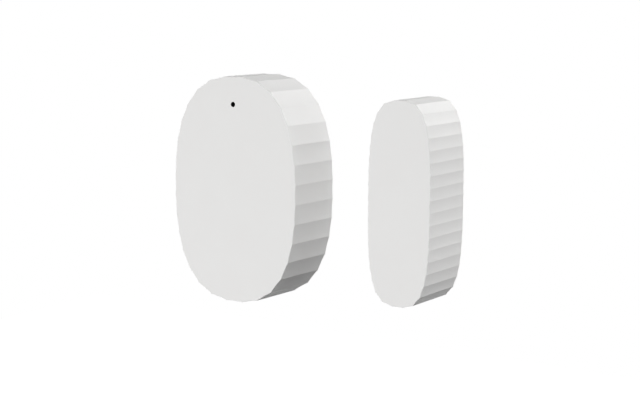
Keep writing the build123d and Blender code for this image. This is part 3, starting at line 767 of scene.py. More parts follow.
    def place(
        self,
        finish: Finish,
        body: str,
        slot: str,
        *replaced: str,
        angle: float = 30.0,
        also: Sequence[tuple[Finish, Test]] = (),
    ) -> "Piece":
        """Shades and dresses the piece, and lets it ride on its CAD body.

        Args:
            finish: The piece's surface.
            body: The CAD body that it moves with.
            slot: A material slot's name, not used.
            replaced: The CAD nodes that it stands for.
            angle: The sharpest turn in degrees that is shaded smooth.
            also: More finishes, each with the test of a face that has it.

        Returns:
            This piece.
        """
        with self.editing("VERT"):
            weld(LAST_WELD)
        bpy.ops.object.shade_smooth_by_angle(angle=math.radians(angle))
        self.apply("WEIGHTED_NORMAL", keep_sharp=True)
        self.object.data.materials.clear()
        self.object.data.materials.append(finish.material())
        for number, (extra, test) in enumerate(also, start=1):
            self.object.data.materials.append(extra.material())
            with self.editing():
                self.pick("FACE", test)
                self.object.active_material_index = number
                bpy.ops.object.material_slot_assign()
        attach(self.object, body)
        if replaced:
            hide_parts(*replaced)
        LOG.info("%s: %d faces on %s", self.object.name, len(self.object.data.polygons), body)
        return self


def dressed(node: str) -> str:
    """Name of the piece that stands for a CAD node."""
    return node + "_dressed"


# The two covers


@dataclass(frozen=True)
class Oval:
    """A unit's outline |x/a|^n + |z/b|^n = 1, through its ridges at the front face."""

    centre_x: float
    half_width: float
    half_height: float
    power: float
    flutes: int
    flute_depth: float
    samples: int = 4000

    def line(self, inset: float, count: int, first: float = 0.5) -> list[Pair]:
        """Points at even distances along the oval, anticlockwise from +X.

        Args:
            inset: How far the oval is drawn in, in millimetres.
            count: How many points.
            first: The part of a step before the first.

        Returns:
            The points as X and Z in millimetres.
        """
        a, b = self.half_width - inset, self.half_height - inset
        walk, run = [], [0.0]
        for i in range(self.samples + 1):
            turn = math.tau * i / self.samples
            c, s = math.cos(turn), math.sin(turn)
            x = a * math.copysign(abs(c) ** (2 / self.power), c)
            z = b * math.copysign(abs(s) ** (2 / self.power), s)
            walk.append(Vector((x, z)))
        for start, end in zip(walk, walk[1:]):
            run.append(run[-1] + (end - start).length)
        points = []
        i = 0
        for k in range(count):
            wanted = run[-1] * (k + first) / count
            while run[i + 1] < wanted:
                i += 1
            at = walk[i].lerp(walk[i + 1], (wanted - run[i]) / (run[i + 1] - run[i]))
            points.append((self.centre_x + at.x, at.y))
        return points

    def ridges(self, inset: float = 0.0) -> list[Vector]:
        """Where the flutes meet, as X and Z in millimetres."""
        return [Vector(ridge) for ridge in self.line(inset, self.flutes)]

    def fluted_line(self, steps: int) -> list[Pair]:
        """The outline with its hollow flutes, each a shallow arc between two ridges.

        Args:
            steps: Points in each flute, the first on its ridge.

        Returns:
            The points as X and Z in millimetres.
        """
        ridges = self.ridges()
        points = []
        for start, end in zip(ridges, ridges[1:] + ridges[:1]):
            chord = end - start
            inward = Vector((-chord.y, chord.x)).normalized()
            radius = (chord.length**2 / 4 + self.flute_depth**2) / (2 * self.flute_depth)
            for k in range(steps):
                along = k / steps - 0.5
                height = math.sqrt(radius**2 - (along * chord.length) ** 2) - (radius - self.flute_depth)
                points.append(tuple(start + chord * (k / steps) + inward * height))
        return points


@dataclass
class FlutedCover:
    """A moulded cover, open to the wall: fluted and tapered outside, smooth inside."""

    name: str
    node: str
    body: str
    oval: Oval
    wall: float
    pry_slot_width: float
    face: float = 1.8
    draft_degrees: float = 1.0
    ridge_rounding: float = 0.09
    rim_rounding: float = 0.12
    rounding_steps: int = 3
    flute_steps: int = 12
    pry_slot_depth: float = 1.2
    pry_slot_reach: Pair = (-2.0, 2.6)
    pry_slot_rounding: float = 0.25
    bead_length: float = 7.4
    bead_height: float = 1.2
    groove_depth: float = 0.25
    groove_place: float = 4.6
    sunk: float = 0.6

    def __post_init__(self) -> None:
        """Reads the cover's depths from the frame."""
        low, high = box_mm(self.node)
        self.back, self.front = low.y, high.y
        self.ceiling = self.front - self.face
        self.growth = (self.front - self.back) * math.tan(math.radians(self.draft_degrees))
        self.inset = self.oval.flute_depth + self.wall
        self.reach = self.oval.half_width - self.inset
        self.ridges = self.oval.ridges()

    def shell(self) -> Piece:
        """Draws a fluted ring back to the wall, faces it, hollows it and softens it.

        Returns:
            The cover's shell.
        """
        oval = self.oval
        shell = Piece.ring(self.name, at_depth(oval.fluted_line(self.flute_steps), self.front))
        wider, taller = (1 + self.growth / half for half in (oval.half_width, oval.half_height))
        with shell.editing("EDGE"):
            select_mesh()
            extrude_edges(spot(0, self.back - self.front, 0))
            bpy.ops.transform.resize(
                value=(wider, 1, taller), center_override=spot(oval.centre_x, self.back, 0)
            )
            shell.pick("EDGE", self.is_rim)
            bpy.ops.mesh.edge_face_add()
            shell.pick("EDGE", self.is_ridge)
            round_edges(self.ridge_rounding, self.rounding_steps)
        self.hollow(shell)
        return shell

    def is_rim(self, edge: bmesh.types.BMEdge) -> bool:
        """Whether an edge goes round the front face."""
        return all(abs(corner.co.y + self.front * MM) < PLANE_REACH for corner in edge.verts)

    def is_ridge(self, edge: bmesh.types.BMEdge) -> bool:
        """Tests an edge of the outside.

        Args:
            edge: The edge.

        Returns:
            Whether it runs along a ridge, from the front face to the wall.
        """
        front, back = sorted((corner.co for corner in edge.verts), key=lambda at: at.y)
        if back.y - front.y < self.face * MM:
            return False
        return any((Vector((front.x, front.z)) / MM - ridge).length < RIDGE_REACH for ridge in self.ridges)

    def hollow(self, shell: Piece) -> None:
        """Joins the smooth cavity to the fluted outside along the rim at the wall.

        Args:
            shell: The outside, faced at the front and open to the wall.
        """
        wall = -self.back * MM
        count = sum(abs(corner.co.y - wall) < PLANE_REACH for corner in shell.object.data.vertices)
        cavity = Piece.ring("cavity", at_depth(self.oval.line(self.inset, count, first=0.0), self.back))
        with cavity.editing("EDGE"):
            select_mesh()
            extrude_edges(spot(0, self.ceiling - self.back, 0))
            bpy.ops.mesh.edge_face_add()
        with shell.join([cavity]).editing("EDGE"):
            shell.pick("EDGE", lambda edge: edge.is_boundary)
            bpy.ops.mesh.bridge_edge_loops()
            face_outwards()
            shell.pick("EDGE", self.is_rim)
            round_edges(self.rim_rounding, self.rounding_steps)

    def cut_slots(self, shell: Piece) -> None:
        """Cuts the slot for a coin or a flat blade, and the grooves for the base's beads.

        Args:
            shell: The hollow cover.
        """
        oval = self.oval
        slot = Piece.block(
            "slot",
            around(oval.centre_x, self.pry_slot_width),
            (self.back - PAST, self.back + self.pry_slot_depth),
            tuple(reach - oval.half_height for reach in self.pry_slot_reach),
        )
        shell.cut(slot.soften(self.pry_slot_rounding, self.rounding_steps))
        groove = Piece.block(
            "groove",
            around(oval.centre_x, 2 * (self.reach + self.groove_depth)),
            (self.groove_place, self.groove_place + self.bead_height),
            around(0, self.bead_length),
        )
        shell.cut(groove)

    def build(self) -> Piece:
        """Builds and dresses the cover.

        Returns:
            The finished cover.
        """
        shell = self.shell()
        self.cut_slots(shell)
        self.add_inside(shell)
        return shell.place(SATIN_ABS, self.body, "housing", self.node, also=self.other_finishes())

    def other_finishes(self) -> tuple[tuple[Finish, Test], ...]:
        """Finishes beside the moulding's own, each with the test for its faces."""
        return ()

    def add_inside(self, shell: Piece) -> None:
        """Adds what stands on the inside of the face; the plain cover adds nothing.

        Args:
            shell: The hollow cover, not used here.
        """


@dataclass
class SensorCover(FlutedCover):
    """The sensor unit's cover, with its pin guide, its post over the tamper button and its light socket."""

    pinhole: float = 1.6
    guide: float = 3.8
    guide_end: float = 10.0
    post: float = 3.2
    post_end: float = 10.1
    socket: float = 4.3
    socket_bore: float = 2.5
    socket_height: float = 3.0
    stub_rounding: float = 0.15
    window: float = 0.6
    bore_share: float = 0.55

    def add_inside(self, shell: Piece) -> None:
        """Adds the tube, the post and the socket to the face, and bores the tube and the socket.

        Args:
            shell: The hollow cover.
        """
        button, tamper, light = map(centre_mm, ("pairing_button", "tamper_button", "light_guide"))
        rim = self.ceiling - self.socket_height
        for at, end, width in (
            (button, self.guide_end, self.guide),
            (tamper, self.post_end, self.post),
            (light, rim, self.socket),
        ):
            stub = Piece.rod("stub", at.x, at.z, (end, self.ceiling + self.sunk), width / 2)
            shell.merge(stub.soften(self.stub_rounding))
        for at, depth, width in (
            (button, (self.guide_end - PAST, self.front + PAST), self.pinhole),
            (light, (rim - PAST, self.front - self.window), self.socket_bore),
        ):
            shell.cut(Piece.rod("bore", at.x, at.z, depth, width / 2))

    def other_finishes(self) -> tuple[tuple[Finish, Test], ...]:
        """The pin's bore wall is painted black as painted shade, so the hole shows as a plain dark dot.

        Returns:
            The black paint for the painted shade, with the test of a face in the bore.
        """
        button = centre_mm("pairing_button")
        start, end = self.guide_end - button.y, self.front - button.y

        def painted_shade_in_bore(face: bmesh.types.BMFace) -> bool:
            """Whether a face lies on the bore's wall, which takes the painted shade."""
            at, reach = middle_mm(face) - button, self.pinhole * self.bore_share
            return is_side(face) and math.hypot(at.x, at.z) < reach and start < at.y < end

        return ((BLACK_INK_AND_PAINTED_SHADE, painted_shade_in_bore),)


@dataclass
class MagnetCover(FlutedCover):
    """The magnet unit's cover, with two cross ribs behind its face."""

    rib_place: float = 11.0
    rib_thickness: float = 0.8
    rib_height: float = 5.0

    def add_inside(self, shell: Piece) -> None:
        """Adds the two cross ribs.

        Args:
            shell: The hollow cover.
        """
        width = around(self.oval.centre_x, 2 * self.reach)
        depth = (self.ceiling - self.rib_height, self.ceiling + self.sunk)
        for z in (-self.rib_place, self.rib_place):
            shell.merge(Piece.block("rib", width, depth, around(z, self.rib_thickness)))


SENSOR_OVAL = Oval(0.0, 23.0, 35.0, 2.5, 32, 0.12)
MAGNET_OVAL = Oval(58.0, 10.0, 29.5, 3.3, 40, 0.08)
COVERS = (
    SensorCover("front_cover_moulding", "front_cover", "cover", SENSOR_OVAL, 1.8, 8.0),
    MagnetCover("magnet_cover_moulding", "magnet_cover", "magnet_cover", MAGNET_OVAL, 1.7, 4.0),
)


# Pieces that keep the solid's own shape, with softened edges


@dataclass(frozen=True)
class Softened:
    """A solid whose shape is already right: it gets its softened edges and its finish."""

    node: str
    body: str
    finish: Finish
    slot: str
    width: float = 0.1

    def build(self) -> Piece:
        """Copies the solid, softens the copy and dresses it.

        Returns:
            The dressed copy.
        """
        piece = Piece.of_solid(self.node)
        if self.width:
            piece.soften(self.width)
        return piece.place(self.finish, self.body, self.slot, self.node)


SOFTENED = (
    Softened("base_plate", "wall_base", BASE_ABS, "base", 0.12),
    Softened("wall_adhesive", "wall_base", TAPE_FOAM, "adhesive_foam", 0.08),
    Softened("battery_tray", "wall_base", TRAY_ABS, "tray", 0.12),
    Softened("battery_spring_left", "wall_base", NICKEL_STEEL, "contact_metal", 0.0),
    Softened("battery_spring_right", "wall_base", NICKEL_STEEL, "contact_metal", 0.0),
    Softened("bridge_contact", "wall_base", NICKEL_STEEL, "contact_metal", 0.05),
    Softened("negative_contact", "wall_base", NICKEL_STEEL, "contact_metal", 0.05),
    Softened("positive_contact", "wall_base", NICKEL_STEEL, "contact_metal", 0.05),
    Softened("pairing_switch_body", "wall_base", BLACK_NYLON, "switch_plastic", 0.08),
    Softened("pairing_switch_frame", "wall_base", SHIELD_TIN, "switch_frame", 0.04),
    Softened("pairing_switch_legs", "wall_base", TINNED_WIRE, "lead_metal", 0.04),
    Softened("light_base", "wall_base", LAMP_WHITE, "light_plastic", 0.08),
    Softened("light_lens", "wall_base", LENS_EPOXY, "lens_epoxy", 0.0),
    Softened("tamper_switch_body", "wall_base", BLACK_NYLON, "switch_plastic", 0.1),
    Softened("reed_fixed_blade", "wall_base", TINNED_WIRE, "lead_metal", 0.03),
    Softened("reed_upper_lead", "wall_base", TINNED_WIRE, "lead_metal", 0.0),
    Softened("regulator", "wall_base", BLACK_EPOXY, "chip_plastic", 0.06),
    Softened("crystal", "wall_base", SHIELD_TIN, "shield_tin", 0.06),
    Softened("cell_pad", "cover", DARK_FOAM, "dark_foam", 0.08),
    Softened("light_guide", "cover", CLEAR_ACRYLIC, "clear_plastic", 0.1),
    Softened("pairing_button", "pairing_button", BLACK_ACETAL, "button_plastic", 0.12),
    Softened("tamper_button", "tamper_button", BLACK_ACETAL, "button_plastic", 0.12),
    Softened("reed_moving_blade", "reed_blade", TINNED_WIRE, "lead_metal", 0.03),
    Softened("magnet_base", "magnet_unit", BASE_ABS, "base", 0.12),
    Softened("magnet_adhesive", "magnet_unit", TAPE_FOAM, "adhesive_foam", 0.08),
    Softened("bar_magnet", "magnet_unit", NICKEL_MAGNET, "magnet", 0.08),
    Softened("magnet_foam", "magnet_unit", DARK_FOAM, "dark_foam", 0.06),
    Softened("magnet_clamp", "magnet_unit", TRAY_ABS, "tray", 0.12),
)


# The small parts inside


def strip(path: Sequence[Pair], width: float) -> list[Pair]:
    """Outline of a band of even width along a path, with mitred corners.

    Args:
        path: The middle line's corners in millimetres.
        width: The band's width in millimetres.

    Returns:
        The closed outline's corners.
    """
    points = [Vector(point) for point in path]
    sides = [(end - start).normalized().orthogonal() for start, end in zip(points, points[1:])]
    left, right = [], []
    for point, before, after in zip(points, sides[:1] + sides, sides + sides[-1:]):
        reach = (before + after) * (width / 2 / (1 + before.dot(after)))
        left.append(tuple(point + reach))
        right.append(tuple(point - reach))
    return left + right[::-1]


@dataclass
class CrossScrews:
    """Pan-head screws with cross recesses, one at each corner of their node's box."""

    node: str
    body: str
    head: float = 3.2
    head_height: float = 1.0
    head_edge: float = 0.35
    crown_steps: int = 7
    shank: float = 1.7
    core: float = 1.3
    pitch: float = 0.6
    recess_length: float = 1.9
    recess_width: float = 0.5
    recess_depth: float = 0.6
    recess_taper: float = 0.6

    def profile(self, length: float) -> list[Pair]:
        """Half section from the tip up over the threads and the domed head.

        Args:
            length: From the tip to the head's seat, in millimetres.

        Returns:
            Radius and height of each corner.
        """
        core, crest, head = self.core / 2, self.shank / 2, self.head / 2
        points = [(0.0, 0.0)]
        height = self.pitch / 2
        while height < length - self.pitch:
            points += [(core, height), (crest, height + self.pitch / 4), (core, height + self.pitch / 2)]
            height += self.pitch
        points += [(core, length), (head, length)]
        rim, crown = length + self.head_edge, self.head_height - self.head_edge
        return points + [(head * c, rim + crown * s) for c, s in quarter(self.crown_steps)]

    def screw(self, x: float, z: float, tip: float, top: float) -> Piece:
        """One screw with its recess.

        Args:
            x: Its axis across, in millimetres.
            z: Its axis up.
            tip: Depth of its tip.
            top: Depth of its crown.

        Returns:
            The screw.
        """
        profile = self.profile(top - self.head_height - tip)
        screw = Piece.turned(dressed(self.node), profile, Vector((x, tip, z)))
        floor, share = top - self.recess_depth, self.recess_taper
        long, narrow = self.recess_length, self.recess_width
        for across, up in ((long, narrow), (narrow, long)):
            slot = Piece.block("slot", around(x, across), (floor, top + PAST), around(z, up))
            with slot.editing():
                slot.pick("FACE", lambda face: middle_mm(face).y < floor + CLOSE)
                bpy.ops.transform.resize(value=(share, 1, share), center_override=spot(x, floor, z))
            screw.cut(slot)
        return screw

    def build(self) -> None:
        """Models one screw and copies it to the other corners."""
        low, high = box_mm(self.node)
        reach = self.head / 2
        columns = [low.x + reach] + ([high.x - reach] if high.x - low.x > self.head * 2 else [])
        places = [(x, z) for x in columns for z in (low.z + reach, high.z - reach)]
        screws = self.screw(*places[0], low.y, high.y).repeat(places)
        screws.place(ZINC_STEEL, self.body, "screw_steel", self.node)


@dataclass
class DryCell:
    """A slim dry cell: a steel can with a flat end and a nub, in film shrunk over both shoulders."""

    node: str
    nub_up: bool
    radius: float = 5.25
    shoulder: float = 0.5
    film_edge: float = 4.15
    film_step: float = 0.12
    flat_end: float = 3.5
    washer: float = 2.6
    nub: float = 1.9
    nub_height: float = 1.0
    nub_rounding: float = 0.2
    band: float = 12.0
    arc_steps: int = 5
    sides: int = 64

    def profile(self, length: float) -> list[Pair]:
        """Half section from the flat end up to the nub.

        Args:
            length: The cell's whole length in millimetres.

        Returns:
            Radius and height of each corner.
        """
        top, step, round_off = length - self.nub_height, self.film_step, self.nub_rounding
        inner, arc = self.radius - self.shoulder, quarter(self.arc_steps)
        return [
            (0.0, 0.0),
            (self.flat_end, 0.0),
            (self.flat_end + step, step * 2),
            (self.film_edge - step, step * 2),
            (self.film_edge, 0.0),
            *((inner + self.shoulder * s, self.shoulder * (1 - c)) for c, s in arc),
            (self.radius, top - self.band),
            *((inner + self.shoulder * c, top - self.shoulder * (1 - s)) for c, s in arc),
            (self.film_edge, top),
            (self.film_edge - step, top - step * 2),
            (self.washer, top - step * 2),
            (self.washer - step, top - step),
            (self.nub, top - step),
            (self.nub, length - round_off),
            (self.nub - round_off, length),
            (0.0, length),
        ]

    def build(self) -> None:
        """Turns the cell and gives the film, its band, the washer and the bare ends their finishes."""
        low, high = box_mm(self.node)
        middle = (low + high) / 2
        up = 1 if self.nub_up else -1
        foot = Vector((middle.x, middle.y, low.z if self.nub_up else high.z))
        length = high.z - low.z
        top = length - self.nub_height
        film = self.film_edge - self.film_step / 2

        def out(face: bmesh.types.BMFace) -> float:
            """How far a face is from the cell's axis."""
            at = middle_mm(face)
            return math.hypot(at.x - middle.x, at.y - middle.y)

        def along(face: bmesh.types.BMFace) -> float:
            """How far up the cell a face is from its flat end."""
            return (middle_mm(face).z - foot.z) * up

        also = (
            (CELL_BAND, lambda face: out(face) > film and along(face) > top - self.band),
            (BLACK_FIBRE, lambda face: self.washer < out(face) < film and along(face) > self.radius),
            (CELL_STEEL, lambda face: out(face) < (self.washer if along(face) > self.radius else film)),
        )
        cell = Piece.turned(dressed(self.node), self.profile(length), foot, UP * up, self.sides)
        cell.place(CELL_WRAP, "wall_base", "cell_can", self.node, also=also)


@dataclass
class StorageCapacitor:
    """A small upright aluminium capacitor: a crimped can on a chamfered base, one side marked black."""

    node: str = "storage_capacitor"
    radius: float = 2.5
    base_height: float = 0.9
    base_overhang: float = 0.1
    base_rounding: float = 0.06
    corner: float = 0.7
    groove: float = 0.25
    groove_height: float = 1.6
    rounding: float = 0.4
    rounding_steps: int = 5
    mark: float = 0.9
    lead_reach: float = 0.45
    lead_width: float = 0.7
    lead_thickness: float = 0.15
    lead_rounding: float = 0.04

    def profile(self, height: float) -> list[Pair]:
        """Half section of the can.

        Args:
            height: Of the capacitor, in millimetres.

        Returns:
            Radius and height of each corner.
        """
        r, groove, middle = self.radius, self.groove, self.groove_height
        points = [(0.0, self.base_height), (r, self.base_height)]
        points += [(r, middle - groove), (r - groove, middle), (r, middle + groove)]
        for c, s in quarter(self.rounding_steps):
            points.append((r - self.rounding * (1 - c), height - self.rounding * (1 - s)))
        return points + [(0.0, height)]

    def build(self) -> None:
        """Builds the can, its base and its two leads."""
        low, high = box_mm(self.node)
        back, top = low.y, high.y - self.rounding
        x, z = (low.x + high.x) / 2, (low.z + high.z) / 2
        can = Piece.turned(dressed(self.node), self.profile(high.y - back), Vector((x, back, z)))
        can.split(ACROSS, x - self.mark)

        def marked(face: bmesh.types.BMFace) -> bool:
            """Whether a face is in the black mark on the crown."""
            at = middle_mm(face)
            return at.y > top and at.x < x - self.mark

        can.place(CAN_ALUMINIUM, "wall_base", "capacitor_can", self.node, also=((BLACK_INK_AND_PAINTED_SHADE, marked),))
        reach = self.radius + self.base_overhang
        base = Piece.block(
            "capacitor_base",
            around(x, reach * 2),
            (back + self.lead_thickness, back + self.base_height),
            around(z, reach * 2),
        )
        with base.editing("EDGE"):
            base.pick("EDGE", lambda edge: is_outward(edge) and edge.verts[0].co.x > x * MM)
            bpy.ops.mesh.bevel(offset=self.corner * MM, segments=1, affect="EDGES")
        base.soften(self.base_rounding).place(BLACK_NYLON, "wall_base", "switch_plastic")
        end = reach + self.lead_reach
        leads = Piece.block(
            "capacitor_leads",
            around(x, self.lead_width),
            (back, back + self.lead_thickness),
            (z - end, z - self.lead_width),
        )
        leads.soften(self.lead_rounding).repeat([(x, z - end), (x, z + self.lead_width)])
        leads.place(TINNED_WIRE, "wall_base", "lead_metal")


@dataclass
class RadioModule:
    """A radio module: a small board with half-round edge pads, a printed antenna and a tin shield."""

    node: str = "radio_board"
    pad_count: int = 10
    pad_pitch: float = 1.27
    pad_start: float = 1.2
    pad_width: float = 0.8
    pad_length: float = 0.9
    pad_inset: float = 0.01
    notch: float = 0.3
    notch_sides: int = 20
    copper: float = 0.035
    track: float = 0.45
    bars: int = 8
    bar_pitch: float = 1.25
    bar_height: float = 2.6
    shield_rounding: float = 0.12

    def build(self) -> None:
        """Builds the board, its pads, its antenna and its shield."""
        low, high = box_mm(self.node)
        left, right, back, front = low.x, high.x, low.y, high.y
        rows = [low.z + self.pad_start + k * self.pad_pitch for k in range(self.pad_count)]
        hole = Piece.rod("notch", left, rows[0], (back - PAST, front + PAST), self.notch, self.notch_sides)
        pads = Piece.block(
            "radio_pads",
            (left + self.pad_inset, left + self.pad_length),
            (front - self.copper, front + self.copper),
            around(rows[0], self.pad_width),
        )
        pads.cut(hole.copied()).repeat([(left, z) for z in rows])
        pads.join([pads.mirrored(ACROSS, (left + right) / 2)]).place(GOLD_PAD, "wall_base", "radio_board")
        hole.repeat([(x, z) for x in (left, right) for z in rows])
        board = Piece.of_solid(self.node).cut(hole)

        def plated(face: bmesh.types.BMFace) -> bool:
            """Whether a face is in a notch's wall."""
            at = middle_mm(face)
            return any(math.hypot(at.x - x, at.z - z) < self.notch for x in (left, right) for z in rows)

        also = ((SAWN_EPOXY, lambda face: is_side(face) and not plated(face)), (GOLD_PAD, plated))
        board.place(BLUE_BOARD, "wall_base", "radio_board", self.node, also=also)
        self.antenna((left + right) / 2, high.z, front)
        Softened("radio_shield", "wall_base", SHIELD_TIN, "shield_tin", self.shield_rounding).build()

    def antenna(self, middle: float, upper: float, front: float) -> None:
        """Prints the antenna, a track that runs up and down across the board's free end.

        Args:
            middle: The board's middle across, in millimetres.
            upper: Its upper end.
            front: Depth of its front.
        """
        x = middle - (self.bars - 1) * self.bar_pitch / 2
        top = upper - self.track
        foot = top - self.bar_height
        path = [(x, foot - self.track), (x, top)]
        for k in range(1, self.bars):
            ends = (foot, top) if k % 2 == 0 else (top, foot)
            path += [(x + k * self.bar_pitch, end) for end in ends]
        track = Piece.plate("antenna_track", strip(path, self.track), front, front + self.copper)
        track.place(BLUE_TRACK, "wall_base", "radio_board")


@dataclass
class Chips:
    """A row of chip resistors or capacitors with tinned ends, each end soldered down."""

    node: str
    finish: Finish
    side_finish: Finish
    slot: str
    count: int
    upright: bool
    width: float = 0.8
    length: float = 1.6
    end: float = 0.3
    edge: float = 0.05
    face_lean: float = 0.7
    solder_reach: float = 0.33
    solder_rise: float = 0.3
    solder_inset: float = 0.04

    def build(self) -> None:
        """Dresses the chips and solders them to the board."""
        low, high = box_mm(self.node)
        run = UP if self.upright else ACROSS
        span = (high - low).dot(run) - (self.length if self.upright else self.width)
        start = Vector((low.x + self.width / 2, low.y, low.z + self.length / 2))
        middles = [start + run * span * k / (self.count - 1) for k in range(self.count)]
        chips = Piece.of_solid(self.node)
        reach = self.length / 2 - self.end
        for z in sorted({round(at.z + side * reach, 4) for at in middles for side in (-1, 1)}):
            chips.split(UP, z)

        def tinned(face: bmesh.types.BMFace) -> bool:
            """Whether a face is in a chip's end."""
            return min(abs(middle_mm(face).z - at.z) for at in middles) > reach

        def bare(face: bmesh.types.BMFace) -> bool:
            """Whether a face is in the side of a chip's body."""
            return face.normal.y > -self.face_lean and not tinned(face)

        also = ((self.side_finish, bare), (TINNED_WIRE, tinned))
        chips.soften(self.edge).place(self.finish, "wall_base", self.slot, self.node, also=also)
        self.solder(middles)

    def solder(self, middles: Sequence[Vector]) -> None:
        """Puts a sloping fillet of solder at both ends of each chip.

        Args:
            middles: The chips' middles at the board, as X, depth and Z in millimetres.
        """
        at = middles[0] + UP * (self.length / 2)
        fillets = Piece.block(
            self.node + "_solder",
            around(at.x, self.width - 2 * self.solder_inset),
            (at.y, at.y + self.solder_rise),
            (at.z - self.end / 2, at.z + self.solder_reach),
        )

        def is_tip(corner: bmesh.types.BMVert) -> bool:
            """Whether a corner is the upper outer one, which the slope brings down."""
            return corner.co.z > at.z * MM and -corner.co.y > (at.y + self.solder_rise / 2) * MM

        with fillets.editing("VERT"):
            fillets.pick("VERT", is_tip)
            bpy.ops.transform.translate(value=spot(0, self.solder_inset - self.solder_rise, 0))
        fillets.join([fillets.mirrored(UP, middles[0].z)])
        fillets.repeat([(middle.x, middle.z) for middle in middles])
        fillets.place(SOLDER, "wall_base", "lead_metal")


@dataclass
class GullLegs:
    """Bent tin legs of a small part: out of its side, down, and flat along the board."""

    name: str
    node: str
    rise: float
    above: tuple[float, ...]
    below: tuple[float, ...]
    reach: float = 0.65
    foot: float = 0.3
    width: float = 0.4
    thickness: float = 0.12
    tuck: float = 0.1

    def build(self) -> None:
        """Bends one leg on the part's upper side and copies it."""
        low, high = box_mm(self.node)
        middle = (low + high) / 2
        knee, board = high.z + self.reach - self.foot, low.y + self.thickness / 2
        raised = low.y + self.rise
        path = [(high.z - self.tuck, raised), (knee, raised), (knee, board), (high.z + self.reach, board)]
        first = self.above[0]
        start = middle.x + first - self.width / 2
        legs = Piece.ring(self.name, [spot(start, depth, z) for z, depth in strip(path, self.thickness)])
        other = legs.thicken(spot(self.width, 0, 0)).mirrored(UP, middle.z)
        lower = [other.copied(x - first) for x in self.below]
        bpy.data.objects.remove(other.object)
        legs.repeat([(x, 0) for x in self.above]).join(lower).place(TINNED_WIRE, "wall_base", "lead_metal")


@dataclass
class ReedGlass:
    """The reed switch's glass: a tube whose ends are melted round onto the leads."""

    node: str = "reed_glass"
    radius: float = 1.1
    bore: float = 0.75
    neck: float = 0.27
    tip: float = 0.35
    dome: float = 1.0
    seal: float = 1.6
    shoulder: float = 0.8
    steps: int = 7
    sides: int = 40
    smooth_angle: float = 50.0

    def build(self) -> None:
        """Turns the glass."""
        low, high = box_mm(self.node)
        middle, length = (low + high) / 2, high.z - low.z
        arc, widening, opening = quarter(self.steps), self.radius - self.tip, self.bore - self.neck
        half = [(self.neck, 0.0), *((self.tip + widening * s, self.dome * (1 - c)) for c, s in arc)]
        inside = [(self.neck + opening * s, self.seal + self.shoulder * (1 - c)) for c, s in arc]
        profile = half + [(r, length - z) for r, z in half[::-1]]
        profile += [(r, length - z) for r, z in inside] + inside[::-1]
        foot = Vector((middle.x, middle.y, low.z))
        glass = Piece.turned(dressed(self.node), profile, foot, UP, self.sides)
        glass.place(SEALED_GLASS, "wall_base", "reed_glass", self.node, angle=self.smooth_angle)


